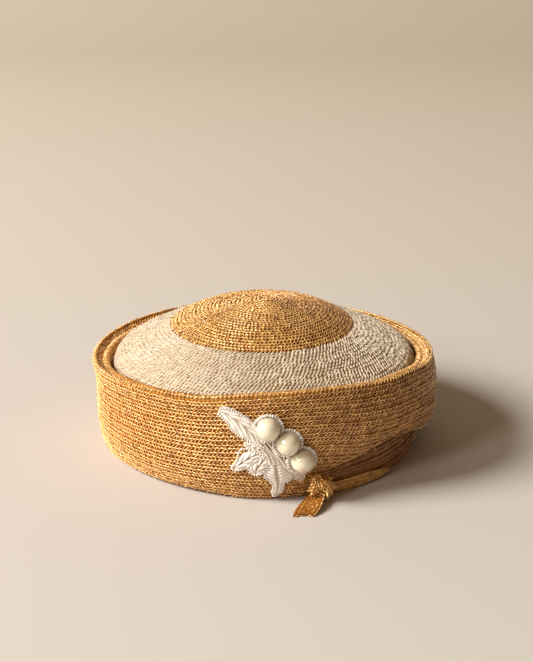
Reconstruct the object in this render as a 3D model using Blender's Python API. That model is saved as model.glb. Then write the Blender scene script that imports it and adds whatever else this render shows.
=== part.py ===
"""A pillbox hat of crocheted straw, resting on its open base.

A domed crown, gold in the middle and cream around it, stands on a side band.
A tall double cuff of gold straw is turned up around them, higher in front than
behind, and sags into a tuck over its lower edge on the right. A lace spray with
three half-round pearls and a knotted straw tie sit low on the front.

Metres, +Z up, the front of the hat towards -Y. Azimuths are in degrees from +X,
seen from above: 0 right, 90 back, 180 left, 270 front. Radii are measured across
the hat, and PLAN_OVAL lengthens them from front to back.
"""
import math

import bmesh
import bpy
from mathutils import Vector

MM = 0.001

# Overall sizes
BASE_RADIUS = 90.5 * MM
CUFF_HEIGHT = 66.0 * MM
PLAN_OVAL = 1.04
STRAW = 2.0 * MM
SEAT_GAP = 0.3 * MM
CURVED_GAP = 0.45 * MM
SEGMENTS = 60

# Crown
CROWN_RADIUS = 90.0 * MM
CROWN_HEIGHT = 86.5 * MM
SHOULDER_HEIGHT = 38.0 * MM
CROWN_LEAN = 1.5 * MM
PEAK_LEAN = 4.0 * MM
TIP_RADIUS = 54.0 * MM
CROWN_HEM = 5.0 * MM
HEM_TURN = 1.0 * MM

# Cuff and its facing
RIM_REACH = 11.5 * MM
RIM_RADIUS = CROWN_RADIUS + RIM_REACH
TUCK_RISE = 2.4 * MM
BULGE_ROUND = 5.0 * MM
FOOT_LIFT = 1.2 * MM
LIP_RISE = 1.2 * MM
RIM_WIDTH = 8.7 * MM
HEM_DEPTH = 3.4 * MM
HEM_THICKNESS = 2.8 * MM
CREVICE = 0.9 * MM

# Lace spray and pearls
SPRAY_SPAN = 48.0 * MM
SPRAY_FOOT = 3.6 * MM
LACE = 1.5 * MM
PEARL_DIAMETER = 13.2 * MM
PEARL_SINK = 0.10
SEAT_MARGIN = 1.8 * MM
STEM_WIDTH = 4.6 * MM
SPRAY_LEFT = -0.55
SPRAY_RIGHT = 0.70
SPRAY_TOP = 1.15
BENDS_ACROSS = 14
BENDS_UP = 5

# Straw tie
STRAP_WIDTH = 11.0 * MM
STRAP = 1.6 * MM
KNOT_WIDTH = 15.6 * MM
KNOT_DEPTH = 10.0 * MM
KNOT_HEIGHT = 14.6 * MM
KNOT_AZIMUTH = 289.4
TAIL_LENGTH = 27.0 * MM
TAIL_HEADING = 245.0
BAND_REACH = 28.0
BAND_HEIGHT = 8.0 * MM

# Cuff sections by azimuth. foot is a share of BASE_RADIUS, belly and rim of RIM_RADIUS,
# height and fold of CUFF_HEIGHT, tuck is how far the section is tucked, lift of FOOT_LIFT.
CUFF_COLUMNS = ("azimuth", "foot", "belly", "rim", "height", "fold", "tuck", "lift")
CUFF_SECTIONS = (
    (0.0, 1.012, 0.996, 0.990, 0.858, 0.125, 1.00, 0.2),
    (22.0, 1.010, 0.996, 0.991, 0.828, 0.115, 0.90, 0.2),
    (45.0, 1.000, 0.988, 0.996, 0.810, 0.100, 0.60, 0.2),
    (70.0, 1.000, 0.978, 1.000, 0.814, 0.070, 0.15, 0.2),
    (95.0, 1.000, 0.975, 1.000, 0.816, 0.050, 0.00, 0.2),
    (125.0, 1.005, 0.972, 1.000, 0.815, 0.050, 0.00, 0.2),
    (155.0, 1.025, 0.967, 0.992, 0.812, 0.050, 0.00, 0.2),
    (180.0, 1.050, 0.965, 0.986, 0.820, 0.050, 0.00, 0.2),
    (200.0, 1.010, 0.962, 0.985, 0.846, 0.050, 0.00, 0.3),
    (216.0, 0.980, 0.957, 0.983, 0.880, 0.050, 0.00, 0.6),
    (234.0, 0.972, 0.958, 0.985, 0.899, 0.050, 0.00, 1.0),
    (250.0, 0.975, 0.958, 0.983, 0.914, 0.050, 0.00, 1.0),
    (264.0, 0.994, 0.960, 0.980, 0.958, 0.050, 0.00, 0.6),
    (278.0, 0.990, 0.963, 0.980, 0.980, 0.070, 0.05, 0.3),
    (290.0, 0.985, 0.968, 0.984, 0.986, 0.160, 0.45, 0.2),
    (301.0, 0.988, 0.975, 0.990, 0.974, 0.280, 0.85, 0.2),
    (314.0, 0.990, 0.983, 0.991, 0.950, 0.365, 1.00, 0.2),
    (327.0, 0.987, 0.990, 0.991, 0.938, 0.345, 1.00, 0.2),
    (343.0, 0.994, 0.996, 0.990, 0.884, 0.240, 1.00, 0.2),
)

# Height shares of a plain section's points, and how far each has gone from foot to belly
# (first stage) and from belly to rim (second stage).
PLAIN_COLUMNS = ("height", "to_belly", "to_rim")
PLAIN_SECTION = (
    (0.00, 0.00, 0.00),
    (0.09, 0.38, 0.00),
    (0.18, 0.66, 0.00),
    (0.27, 0.86, 0.00),
    (0.36, 0.97, 0.00),
    (0.45, 1.00, 0.00),
    (0.54, 1.00, 0.01),
    (0.63, 1.00, 0.03),
    (0.72, 1.00, 0.08),
    (0.80, 1.00, 0.18),
    (0.88, 1.00, 0.48),
    (0.94, 1.00, 0.88),
    (1.00, 1.00, 1.00),
)

# The crown's outer side. Radii are shares of CROWN_RADIUS, heights of the dome over the
# shoulder.
CROWN_PROFILE = (
    (0.000, 1.000), (0.155, 0.967), (0.311, 0.916), (0.444, 0.845), (0.600, 0.705),
    (0.711, 0.617), (0.811, 0.528), (0.889, 0.458), (0.944, 0.396), (0.972, 0.336),
    (0.992, 0.237), (0.998, 0.124), (1.000, 0.000),
)

# Leaves of the spray. base and tip are shares of SPRAY_SPAN from the front centre line and
# from SPRAY_FOOT, width a share of SPRAY_SPAN, belly how far along the leaf it is widest.
LEAF_COLUMNS = ("base_across", "base_up", "tip_across", "tip_up", "width", "belly")
LEAVES = (
    (-0.01, 0.68, -0.475, 1.10, 0.210, 0.46),
    (0.02, 0.61, -0.345, 0.37, 0.215, 0.50),
    (0.06, 0.58, -0.085, 0.30, 0.200, 0.58),
    (0.15, 0.58, 0.150, 0.00, 0.290, 0.55),
)
STEM_PATH = ((0.02, 0.72), (0.14, 0.55), (0.28, 0.37), (0.43, 0.22))

# Pearls, as shares of SPRAY_SPAN from the front centre line and from SPRAY_FOOT.
PEARLS = ((0.066, 0.903), (0.279, 0.700), (0.442, 0.478))

# Cross sections of the tie's free end. along is a share of TAIL_LENGTH, width, raised and
# skew are shares of STRAP_WIDTH.
TAIL_COLUMNS = ("along", "width", "raised", "skew")
TAIL_SECTIONS = (
    (0.00, 0.62, 0.00, 0.00),
    (0.30, 0.84, 0.03, 0.00),
    (0.60, 1.02, 0.06, 0.00),
    (0.86, 1.12, 0.00, 0.05),
    (1.00, 1.12, 0.00, 0.16),
)


def clear_scene():
    """Removes every object, so the script starts from an empty file."""
    for item in list(bpy.data.objects):
        bpy.data.objects.remove(item, do_unlink=True)


def material(name, color, roughness):
    """Makes a plain Principled material of one colour."""
    made = bpy.data.materials.new(name)
    made.use_nodes = True
    shader = made.node_tree.nodes["Principled BSDF"]
    shader.inputs["Base Color"].default_value = (*color, 1.0)
    shader.inputs["Roughness"].default_value = roughness
    shader.inputs["Metallic"].default_value = 0.0
    return made


def add_object(name, bm, finish, sharp_degrees=40.0):
    """Turns a bmesh into a shaded object with its faces pointing out."""
    bmesh.ops.recalc_face_normals(bm, faces=bm.faces)
    if bm.calc_volume(signed=True) < 0.0:
        bmesh.ops.reverse_faces(bm, faces=bm.faces)
    mesh = bpy.data.meshes.new(name)
    bm.to_mesh(mesh)
    bm.free()
    mesh.shade_smooth()
    mesh.set_sharp_from_angle(angle=math.radians(sharp_degrees))
    mesh.materials.append(finish)
    made = bpy.data.objects.new(name, mesh)
    bpy.context.scene.collection.objects.link(made)
    return made


def periodic_row(azimuth, rows):
    """Reads a table at any azimuth, on a smooth closed curve through its rows."""
    azimuth = azimuth % 360.0
    count = len(rows)
    after = next((i for i, row in enumerate(rows) if row[0] > azimuth), count)
    picks = [after - 2, after - 1, after, after + 1]
    spots = [rows[i % count][0] + 360.0 * (i // count) for i in picks]
    here = (azimuth - spots[1]) / (spots[2] - spots[1])
    values = []
    for column in range(1, len(rows[0])):
        a, b, c, d = (rows[i % count][column] for i in picks)
        step = spots[2] - spots[1]
        slope_b = (c - a) / (spots[2] - spots[0]) * step
        slope_c = (d - b) / (spots[3] - spots[1]) * step
        h2 = here * here
        h3 = h2 * here
        values.append(
            (2 * h3 - 3 * h2 + 1) * b
            + (h3 - 2 * h2 + here) * slope_b
            + (3 * h2 - 2 * h3) * c
            + (h3 - h2) * slope_c
        )
    return values


def cuff_sizes(azimuth):
    """Gives the cuff's sizes at an azimuth, in metres, with the tuck as a share."""
    share = dict(zip(CUFF_COLUMNS[1:], periodic_row(azimuth, CUFF_SECTIONS)))
    return {
        "foot": share["foot"] * BASE_RADIUS,
        "belly": share["belly"] * RIM_RADIUS,
        "rim": share["rim"] * RIM_RADIUS,
        "height": share["height"] * CUFF_HEIGHT,
        "fold": share["fold"] * CUFF_HEIGHT,
        "tuck": min(max(share["tuck"], 0.0), 1.0),
        "lift": share["lift"] * FOOT_LIFT,
    }


def plain_section(size):
    """Outer side of the cuff where it isn't tucked, from the foot up."""
    points = []
    for row in PLAIN_SECTION:
        share = dict(zip(PLAIN_COLUMNS, row))
        radius = size["foot"] + share["to_belly"] * (size["belly"] - size["foot"])
        radius += share["to_rim"] * (size["rim"] - size["belly"])
        height = size["lift"] + share["height"] * (size["height"] - size["lift"])
        points.append((radius, height))
    return points


def tucked_section(size):
    """Outer side of the cuff where it sags over its lower part, from the foot up."""
    foot = size["foot"]
    fold = size["fold"]
    depth = size["belly"] - foot
    lift = size["lift"]
    points = [
        (foot, lift),
        (foot + 0.05 * depth, lift + 0.50 * (fold - lift)),
        (foot + 0.02 * depth, fold),
        (foot + 0.10 * depth, fold + TUCK_RISE),
        (foot + 0.42 * depth, fold + 0.45 * TUCK_RISE),
        (foot + 0.74 * depth, fold + 0.25 * BULGE_ROUND + 0.2 * TUCK_RISE),
        (foot + 0.93 * depth, fold + BULGE_ROUND),
    ]
    start = points[-1]
    steps = len(PLAIN_SECTION) - len(points)
    for step in range(1, steps + 1):
        share = step / steps
        bulge = math.sin(math.pi * min(1.0, share * 0.9 + 0.1)) ** 0.8
        radius = start[0] + share * (size["rim"] - start[0])
        radius += 0.30 * bulge * (size["belly"] - size["foot"])
        points.append((radius, start[1] + share * (size["height"] - start[1])))
    return points


def cuff_outer(azimuth):
    """Outer side of the cuff at an azimuth, as radius and height from the foot up."""
    size = cuff_sizes(azimuth)
    tuck = size["tuck"]
    pairs = zip(plain_section(size), tucked_section(size))
    return [
        ((1 - tuck) * plain[0] + tuck * tucked[0], (1 - tuck) * plain[1] + tuck * tucked[1])
        for plain, tucked in pairs
    ]


def offset_section(points, distance):
    """Moves a section's points sideways, towards the axis, by a wall's thickness."""
    moved = []
    last = len(points) - 1
    for index, (radius, height) in enumerate(points):
        before = points[max(index - 1, 0)]
        after = points[min(index + 1, last)]
        run = after[0] - before[0]
        rise = after[1] - before[1]
        length = math.hypot(run, rise)
        moved.append((radius - distance * rise / length, height + distance * run / length))
    return moved


def cuff_section(azimuth):
    """Closed section of the cuff's wall, with a rounded lip at its top."""
    outer = cuff_outer(azimuth)
    inner = offset_section(outer, STRAW)
    inner[0] = (outer[0][0] - STRAW, outer[0][1])
    top_radius, top_height = outer[-1]
    outer[-1] = (top_radius, top_height - LIP_RISE)
    inner[-1] = (top_radius - STRAW - 0.2 * LIP_RISE, top_height - LIP_RISE)
    lip = [(top_radius - 0.5 * STRAW, top_height)]
    return outer + lip + inner[::-1]


def crown_height_at(radius):
    """Height of the crown's outer side at a radius, read from its profile."""
    spot = min(radius / CROWN_RADIUS, 1.0)
    rise = 0.0
    for near, far in zip(CROWN_PROFILE, CROWN_PROFILE[1:]):
        if near[0] <= spot <= far[0]:
            part = (spot - near[0]) / (far[0] - near[0])
            rise = near[1] + part * (far[1] - near[1])
    return SHOULDER_HEIGHT + (CROWN_HEIGHT - SHOULDER_HEIGHT) * rise


def crown_lean_at(radius):
    """Sideways lean of the crown at a radius: none inside the tip, all at the shoulder."""
    share = (radius - TIP_RADIUS) / (CROWN_RADIUS - TIP_RADIUS)
    return CROWN_LEAN * min(max(share, 0.0), 1.0)


def peak_lean_at(radius):
    """Sideways lean of the crown's tip at a radius: all at the peak, none at its edge."""
    return PEAK_LEAN * (1.0 - radius / TIP_RADIUS)


def plan_point(radius, azimuth, height, lean=0.0):
    """World place of a section's point."""
    angle = math.radians(azimuth)
    across = radius * math.cos(angle) + lean
    return Vector((across, radius * PLAN_OVAL * math.sin(angle), height))


def facing_section(azimuth):
    """Closed section of the facing: a folded hem against the cuff and a wall inside it."""
    size = cuff_sizes(azimuth)
    rim = size["rim"]
    top = size["height"]
    lip = rim - RIM_WIDTH
    shelf = top - HEM_DEPTH
    room = 1.15 * STRAW + SEAT_GAP
    hem_top = cuff_radius_at(azimuth, shelf) - room
    hem_foot = cuff_radius_at(azimuth, shelf - HEM_THICKNESS) - room
    lean = CROWN_LEAN * math.cos(math.radians(azimuth))
    low = SHOULDER_HEIGHT + STRAW
    foot = CROWN_RADIUS + lean + CREVICE
    waist = 0.5 * (foot + lip)
    middle = 0.5 * (low + top)
    return [
        (foot + STRAW, low),
        (waist + 1.15 * STRAW, middle),
        (lip + 1.10 * STRAW, shelf - 2.0 * HEM_THICKNESS),
        (hem_foot, shelf - HEM_THICKNESS),
        (hem_top, shelf),
        (lip + 1.35 * STRAW, shelf + 0.2 * HEM_DEPTH),
        (lip + 1.15 * STRAW, top - LIP_RISE),
        (lip + 0.60 * STRAW, top - 0.1 * LIP_RISE),
        (lip, top - LIP_RISE),
        (lip, shelf - HEM_THICKNESS),
        (waist, middle),
        (foot, low),
    ]


def band_foot_radius(azimuth):
    """Outer radius of the side band at the base, just inside the cuff's foot."""
    return cuff_sizes(azimuth)["foot"] - STRAW - SEAT_GAP


def band_top_radius(azimuth):
    """Outer radius of the side band at its top, drawn in where the cuff is tucked."""
    lean = CROWN_LEAN * math.cos(math.radians(azimuth))
    room = (1.0 - cuff_sizes(azimuth)["tuck"]) * STRAW
    return min(CROWN_RADIUS - HEM_TURN + lean, band_foot_radius(azimuth) + room)


def crown_ring_section(azimuth):
    """Closed section of the crown's outer ring, from the tip to its turned-down hem."""
    inner_start = TIP_RADIUS + SEAT_GAP
    span = CROWN_RADIUS - inner_start
    shares = (0.0, 0.22, 0.44, 0.64, 0.80, 0.90, 0.96, 0.99)
    outer = []
    for share in shares:
        radius = inner_start + share * span
        outer.append((radius, crown_height_at(radius)))
    outer.append((CROWN_RADIUS - 0.1 * HEM_TURN, SHOULDER_HEIGHT + 0.25 * CROWN_HEM))
    edge = band_top_radius(azimuth) - crown_lean_at(CROWN_RADIUS) * math.cos(math.radians(azimuth))
    outer.append((edge, SHOULDER_HEIGHT - CROWN_HEM))
    inner = offset_section(outer, -STRAW)
    inner[0] = (inner_start, outer[0][1] - 1.15 * STRAW)
    inner[-1] = (outer[-1][0] - STRAW, outer[-1][1])
    return outer + inner[::-1]


def side_band_section(azimuth):
    """Closed section of the side band, from the base to the crown's hem."""
    foot = band_foot_radius(azimuth)
    top = band_top_radius(azimuth)
    top_height = SHOULDER_HEIGHT - CROWN_HEM - SEAT_GAP
    points = []
    for share in (0.0, 0.35, 0.7, 1.0):
        points.append((foot + share ** 1.6 * (top - foot), share * top_height))
    inner = [(radius - STRAW, height) for radius, height in points]
    return points + inner[::-1]


def ring_solid(name, section_at, finish, lean_at=None):
    """Lofts a closed section once round the hat."""
    bm = bmesh.new()
    rings = []
    for index in range(SEGMENTS):
        azimuth = 360.0 * index / SEGMENTS
        ring = []
        for radius, height in section_at(azimuth):
            lean = lean_at(radius) if lean_at else 0.0
            ring.append(bm.verts.new(plan_point(radius, azimuth, height, lean)))
        rings.append(ring)
    count = len(rings[0])
    for index, ring in enumerate(rings):
        following = rings[(index + 1) % SEGMENTS]
        for spot in range(count):
            after = (spot + 1) % count
            bm.faces.new((ring[spot], following[spot], following[after], ring[after]))
    return add_object(name, bm, finish)


def crown_tip(finish):
    """The crown's middle: a domed disc with an even wall."""
    bm = bmesh.new()
    shares = (0.16, 0.38, 0.60, 0.81, 1.0)
    sides = []
    for drop, flare in ((0.0, 0.0), (STRAW, 0.15 * STRAW)):
        pole = bm.verts.new(plan_point(0.0, 0.0, CROWN_HEIGHT - drop, PEAK_LEAN))
        rings = []
        for share in shares:
            radius = share * TIP_RADIUS
            height = crown_height_at(radius) - drop - flare * share
            lean = peak_lean_at(radius)
            rings.append([
                bm.verts.new(plan_point(radius, 360.0 * i / SEGMENTS, height, lean))
                for i in range(SEGMENTS)
            ])
        for i in range(SEGMENTS):
            bm.faces.new((pole, rings[0][i], rings[0][(i + 1) % SEGMENTS]))
        for near, far in zip(rings, rings[1:]):
            for i in range(SEGMENTS):
                j = (i + 1) % SEGMENTS
                bm.faces.new((near[i], far[i], far[j], near[j]))
        sides.append(rings[-1])
    for i in range(SEGMENTS):
        j = (i + 1) % SEGMENTS
        bm.faces.new((sides[0][i], sides[1][i], sides[1][j], sides[0][j]))
    return add_object("crown_tip", bm, finish)


def cuff_radius_at(azimuth, height):
    """Radius of the cuff's outer side at a height, on its lowest wall from below."""
    points = cuff_outer(azimuth)
    for low, high in zip(points, points[1:]):
        if low[1] <= height <= high[1]:
            share = (height - low[1]) / (high[1] - low[1])
            return low[0] + share * (high[0] - low[0])
    return points[0][0] if height < points[0][1] else points[-1][0]


def front_point(across, height, lift):
    """Place on the cuff's front, by the distance round it and the height, lifted off it."""
    azimuth = 270.0 + math.degrees(across / cuff_sizes(270.0)["belly"])
    radius = cuff_radius_at(azimuth, height)
    step = STRAW
    slope = cuff_radius_at(azimuth, height + step) - cuff_radius_at(azimuth, height - step)
    tilt = math.atan2(slope, 2 * step)
    out = lift * math.cos(tilt)
    return plan_point(radius + out, azimuth, height - lift * math.sin(tilt))


def leaf_outline(leaf):
    """Outline of one leaf in the spray's flat pattern, blunt at its base."""
    shape = dict(zip(LEAF_COLUMNS, leaf))
    base = Vector((shape["base_across"], shape["base_up"])) * SPRAY_SPAN
    tip = Vector((shape["tip_across"], shape["tip_up"])) * SPRAY_SPAN
    half = 0.5 * shape["width"] * SPRAY_SPAN
    belly = shape["belly"]
    axis = tip - base
    side = Vector((-axis.y, axis.x)).normalized()
    edge = []
    for share in (0.0, 0.14, 0.30, 0.46, 0.62, 0.78, 0.91):
        stretch = share / belly if share < belly else (1 - share) / (1 - belly)
        width = half * max(math.sin(0.5 * math.pi * min(stretch, 1.0)) ** 0.75, 0.24)
        edge.append((share, width))
    right = [base + axis * share - side * width for share, width in edge]
    left = [base + axis * share + side * width for share, width in edge[::-1]]
    return right + [tip] + left


def stem_outline():
    """Outline of the stem in the spray's flat pattern."""
    path = [Vector(point) * SPRAY_SPAN for point in STEM_PATH]
    near = []
    far = []
    for index, point in enumerate(path):
        along = path[min(index + 1, len(path) - 1)] - path[max(index - 1, 0)]
        side = Vector((-along.y, along.x)).normalized() * 0.5 * STEM_WIDTH
        near.append(point - side)
        far.append(point + side)
    return near + far[::-1]


def disc_outline(center, radius, sides=18):
    """Outline of a round seat in the spray's flat pattern."""
    turn = 2 * math.pi / sides
    return [
        center + Vector((radius * math.cos(turn * i), radius * math.sin(turn * i)))
        for i in range(sides)
    ]


def flat_plate(name, outline, low, high):
    """A flat plate from an outline, kept as a hidden cutter for the spray."""
    bm = bmesh.new()
    bottom = [bm.verts.new((point.x, point.y, low)) for point in outline]
    face = bm.faces.new(bottom)
    grown = bmesh.ops.extrude_face_region(bm, geom=[face])
    risen = [item for item in grown["geom"] if isinstance(item, bmesh.types.BMVert)]
    bmesh.ops.translate(bm, verts=risen, vec=(0.0, 0.0, high - low))
    bmesh.ops.recalc_face_normals(bm, faces=bm.faces)
    mesh = bpy.data.meshes.new(name)
    bm.to_mesh(mesh)
    bm.free()
    made = bpy.data.objects.new(name, mesh)
    bpy.context.scene.collection.objects.link(made)
    return made


def cut_plate(bm, place, normal):
    """Cuts edges across a plate, so that it bends along the cut."""
    parts = bm.verts[:] + bm.edges[:] + bm.faces[:]
    bmesh.ops.bisect_plane(bm, geom=parts, plane_co=place, plane_no=normal)


def lace_spray(finish):
    """The embroidered spray: leaves, stem and pearl seats as one bent plate."""
    seat_radius = 0.5 * PEARL_DIAMETER + SEAT_MARGIN
    outlines = [leaf_outline(leaf) for leaf in LEAVES]
    outlines.append(stem_outline())
    outlines += [disc_outline(Vector(spot) * SPRAY_SPAN, seat_radius) for spot in PEARLS]
    plates = []
    for index, outline in enumerate(outlines):
        plates.append(flat_plate(f"spray_plate_{index}", outline, 0.0, LACE))
    body = plates[0]
    for plate in plates[1:]:
        union = body.modifiers.new("union", "BOOLEAN")
        union.operation = "UNION"
        union.solver = "EXACT"
        union.object = plate
    graph = bpy.context.evaluated_depsgraph_get()
    bm = bmesh.new()
    bm.from_mesh(bpy.data.meshes.new_from_object(body.evaluated_get(graph)))
    for plate in plates:
        bpy.data.objects.remove(plate, do_unlink=True)
    bmesh.ops.remove_doubles(bm, verts=bm.verts, dist=0.002 * MM)
    bmesh.ops.dissolve_limit(
        bm, angle_limit=math.radians(1.0), verts=bm.verts, edges=bm.edges
    )
    for step in range(1, BENDS_ACROSS):
        across = SPRAY_LEFT + (SPRAY_RIGHT - SPRAY_LEFT) * step / BENDS_ACROSS
        cut_plate(bm, (across * SPRAY_SPAN, 0.0, 0.0), (1.0, 0.0, 0.0))
    for step in range(1, BENDS_UP):
        up = SPRAY_TOP * step / BENDS_UP
        cut_plate(bm, (0.0, up * SPRAY_SPAN, 0.0), (0.0, 1.0, 0.0))
    bmesh.ops.triangulate(bm, faces=bm.faces)
    for vert in bm.verts:
        across, up, out = vert.co
        vert.co = front_point(across, SPRAY_FOOT + up, CURVED_GAP + out)
    return add_object("lace_spray", bm, finish)


def pearl(name, spot, finish):
    """One half-round pearl, cut flat where it is glued to its seat."""
    radius = 0.5 * PEARL_DIAMETER
    across = spot[0] * SPRAY_SPAN
    up = SPRAY_FOOT + spot[1] * SPRAY_SPAN
    under = front_point(across, up, CURVED_GAP + SEAT_GAP + LACE)
    above = front_point(across, up, CURVED_GAP + SEAT_GAP + LACE + radius)
    normal = (above - under).normalized()
    center = under + normal * radius * PEARL_SINK * 2.0
    across_axis = normal.cross(Vector((0.0, 0.0, 1.0))).normalized()
    up_axis = across_axis.cross(normal)
    low = -2.0 * PEARL_SINK
    start = math.acos(low)
    bm = bmesh.new()
    levels = 7
    sides = 16
    rings = []
    for level in range(levels):
        angle = start * (1.0 - level / levels)
        ring = []
        for side in range(sides):
            turn = 2 * math.pi * side / sides
            flat = across_axis * math.cos(turn) + up_axis * math.sin(turn)
            place = center + radius * (flat * math.sin(angle) + normal * math.cos(angle))
            ring.append(bm.verts.new(place))
        rings.append(ring)
    crest = bm.verts.new(center + normal * radius)
    for ring, following in zip(rings, rings[1:]):
        for side in range(sides):
            after = (side + 1) % sides
            bm.faces.new((ring[side], ring[after], following[after], following[side]))
    for side in range(sides):
        bm.faces.new((rings[-1][side], rings[-1][(side + 1) % sides], crest))
    bm.faces.new(rings[0][::-1])
    return add_object(name, bm, finish)


def tie_knot(finish):
    """The knot: a compact ball of three slanting wraps with grooves between them."""
    rise = 0.5 * KNOT_HEIGHT + STRAP + SEAT_GAP
    wall = cuff_radius_at(KNOT_AZIMUTH, rise)
    center = plan_point(wall + SEAT_GAP + 0.5 * KNOT_DEPTH, KNOT_AZIMUTH, rise)
    out = plan_point(1.0, KNOT_AZIMUTH, 0.0).normalized()
    along = Vector((-out.y, out.x, 0.0))
    up = Vector((0.0, 0.0, 1.0))
    levels = 11
    sides = 22
    wraps = 3.0

    def place(tilt, turn):
        ring = math.sin(tilt)
        x = ring * math.cos(turn)
        y = ring * math.sin(turn)
        z = math.cos(tilt)
        slant = 0.75 * x + 0.66 * z
        groove = 0.10 * (0.5 - 0.5 * math.cos(2 * math.pi * wraps * 0.5 * (slant + 1.0)))
        swell = 0.90 + groove
        return (
            center
            + along * (0.5 * KNOT_WIDTH * x * swell)
            + out * (0.5 * KNOT_DEPTH * y * min(swell, 1.0))
            + up * (0.5 * KNOT_HEIGHT * z * swell)
        )

    bm = bmesh.new()
    top = bm.verts.new(place(0.0, 0.0))
    bottom = bm.verts.new(place(math.pi, 0.0))
    rings = []
    for level in range(1, levels):
        tilt = math.pi * level / levels
        rings.append([bm.verts.new(place(tilt, 2 * math.pi * i / sides)) for i in range(sides)])
    for i in range(sides):
        j = (i + 1) % sides
        bm.faces.new((top, rings[0][i], rings[0][j]))
        bm.faces.new((bottom, rings[-1][j], rings[-1][i]))
        for near, far in zip(rings, rings[1:]):
            bm.faces.new((near[i], far[i], far[j], near[j]))
    return add_object("tie_knot", bm, finish)


def strap_solid(name, stations, finish):
    """Lofts a flat strap through stations of four corners each."""
    bm = bmesh.new()
    rings = [[bm.verts.new(corner) for corner in station] for station in stations]
    for near, far in zip(rings, rings[1:]):
        for i in range(4):
            j = (i + 1) % 4
            bm.faces.new((near[i], near[j], far[j], far[i]))
    bm.faces.new(rings[0][::-1])
    bm.faces.new(rings[-1])
    bmesh.ops.triangulate(bm, faces=bm.faces)
    return add_object(name, bm, finish, 30.0)


def tie_tail(finish):
    """The strap's free end, from under the knot out along the surface."""
    root = plan_point(
        cuff_radius_at(KNOT_AZIMUTH, FOOT_LIFT) + 0.35 * KNOT_DEPTH, KNOT_AZIMUTH, 0.0
    )
    heading = math.radians(TAIL_HEADING)
    forward = Vector((math.cos(heading), math.sin(heading), 0.0))
    side = Vector((-forward.y, forward.x, 0.0))
    up = Vector((0.0, 0.0, 1.0))
    stations = []
    for row in TAIL_SECTIONS:
        share = dict(zip(TAIL_COLUMNS, row))
        middle = root + forward * (share["along"] * TAIL_LENGTH)
        half = side * (0.5 * share["width"] * STRAP_WIDTH)
        left = middle - half + forward * share["skew"] * STRAP_WIDTH
        right = middle + half + up * share["raised"] * STRAP_WIDTH
        stations.append((left, right, right + up * STRAP, left + up * STRAP))
    return strap_solid("tie_tail", stations, finish)


def tie_band(finish):
    """The strap's run along the foot of the cuff, ending in a point."""
    start = KNOT_AZIMUTH + math.degrees(0.5 * KNOT_WIDTH / BASE_RADIUS) + 0.5
    steps = 9
    stations = []
    for step in range(steps + 1):
        share = step / steps
        azimuth = start + share * BAND_REACH
        size = cuff_sizes(azimuth)
        taper = 1.0 if share < 0.55 else 1.0 - 0.82 * ((share - 0.55) / 0.45) ** 1.3
        low = size["lift"] + (0.2 + 0.45 * (1.0 - taper)) * BAND_HEIGHT * 0.5
        high = low + BAND_HEIGHT * taper
        seat_low = cuff_radius_at(azimuth, low) + SEAT_GAP
        seat_high = min(cuff_radius_at(azimuth, high), seat_low + STRAW) + SEAT_GAP
        stations.append((
            plan_point(seat_low, azimuth, low),
            plan_point(seat_low + STRAP, azimuth, low),
            plan_point(seat_high + STRAP, azimuth, high),
            plan_point(seat_high, azimuth, high),
        ))
    return strap_solid("tie_band", stations, finish)


def centre_on_base(pieces):
    """Moves every piece so that the middle of the hat's box, at its base, is the origin."""
    corners = [vert.co for piece in pieces for vert in piece.data.vertices]
    low = Vector((min(c.x for c in corners), min(c.y for c in corners), min(c.z for c in corners)))
    high = Vector((max(c.x for c in corners), max(c.y for c in corners), 0.0))
    middle = Vector((0.5 * (low.x + high.x), 0.5 * (low.y + high.y), low.z))
    hat = bpy.data.objects.new("hat", None)
    bpy.context.scene.collection.objects.link(hat)
    hat.location = -middle
    for piece in pieces:
        piece.parent = hat


def build_hat():
    """Makes every piece of the hat."""
    gold = material("gold_straw", (0.62, 0.34, 0.11), 0.45)
    cream = material("cream_straw", (0.80, 0.70, 0.53), 0.55)
    lace = material("lace", (0.78, 0.71, 0.60), 0.70)
    pearl_finish = material("pearl", (0.86, 0.80, 0.68), 0.18)
    pieces = [
        ring_solid("side_band", side_band_section, gold),
        ring_solid("crown_ring", crown_ring_section, cream, crown_lean_at),
        crown_tip(gold),
        ring_solid("cuff", cuff_section, gold),
        ring_solid("cuff_facing", facing_section, gold),
        lace_spray(lace),
        tie_knot(gold),
        tie_tail(gold),
        tie_band(gold),
    ]
    for number, spot in enumerate(PEARLS, start=1):
        pieces.append(pearl(f"pearl_{number}", spot, pearl_finish))
    centre_on_base(pieces)


clear_scene()
build_hat()
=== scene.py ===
"""Looks of the straw pillbox hat: crocheted straw, lace spray, pearls and straw tie.

Every surface of the hat is laid out as a smooth sheet in metres, in the frame of the
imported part. The straw walls are closed forms made from those sheets, and the crochet
is real stitches set on them by a node tree, row by row.
"""

import logging
import math
from dataclasses import dataclass, field
from enum import Enum

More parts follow.
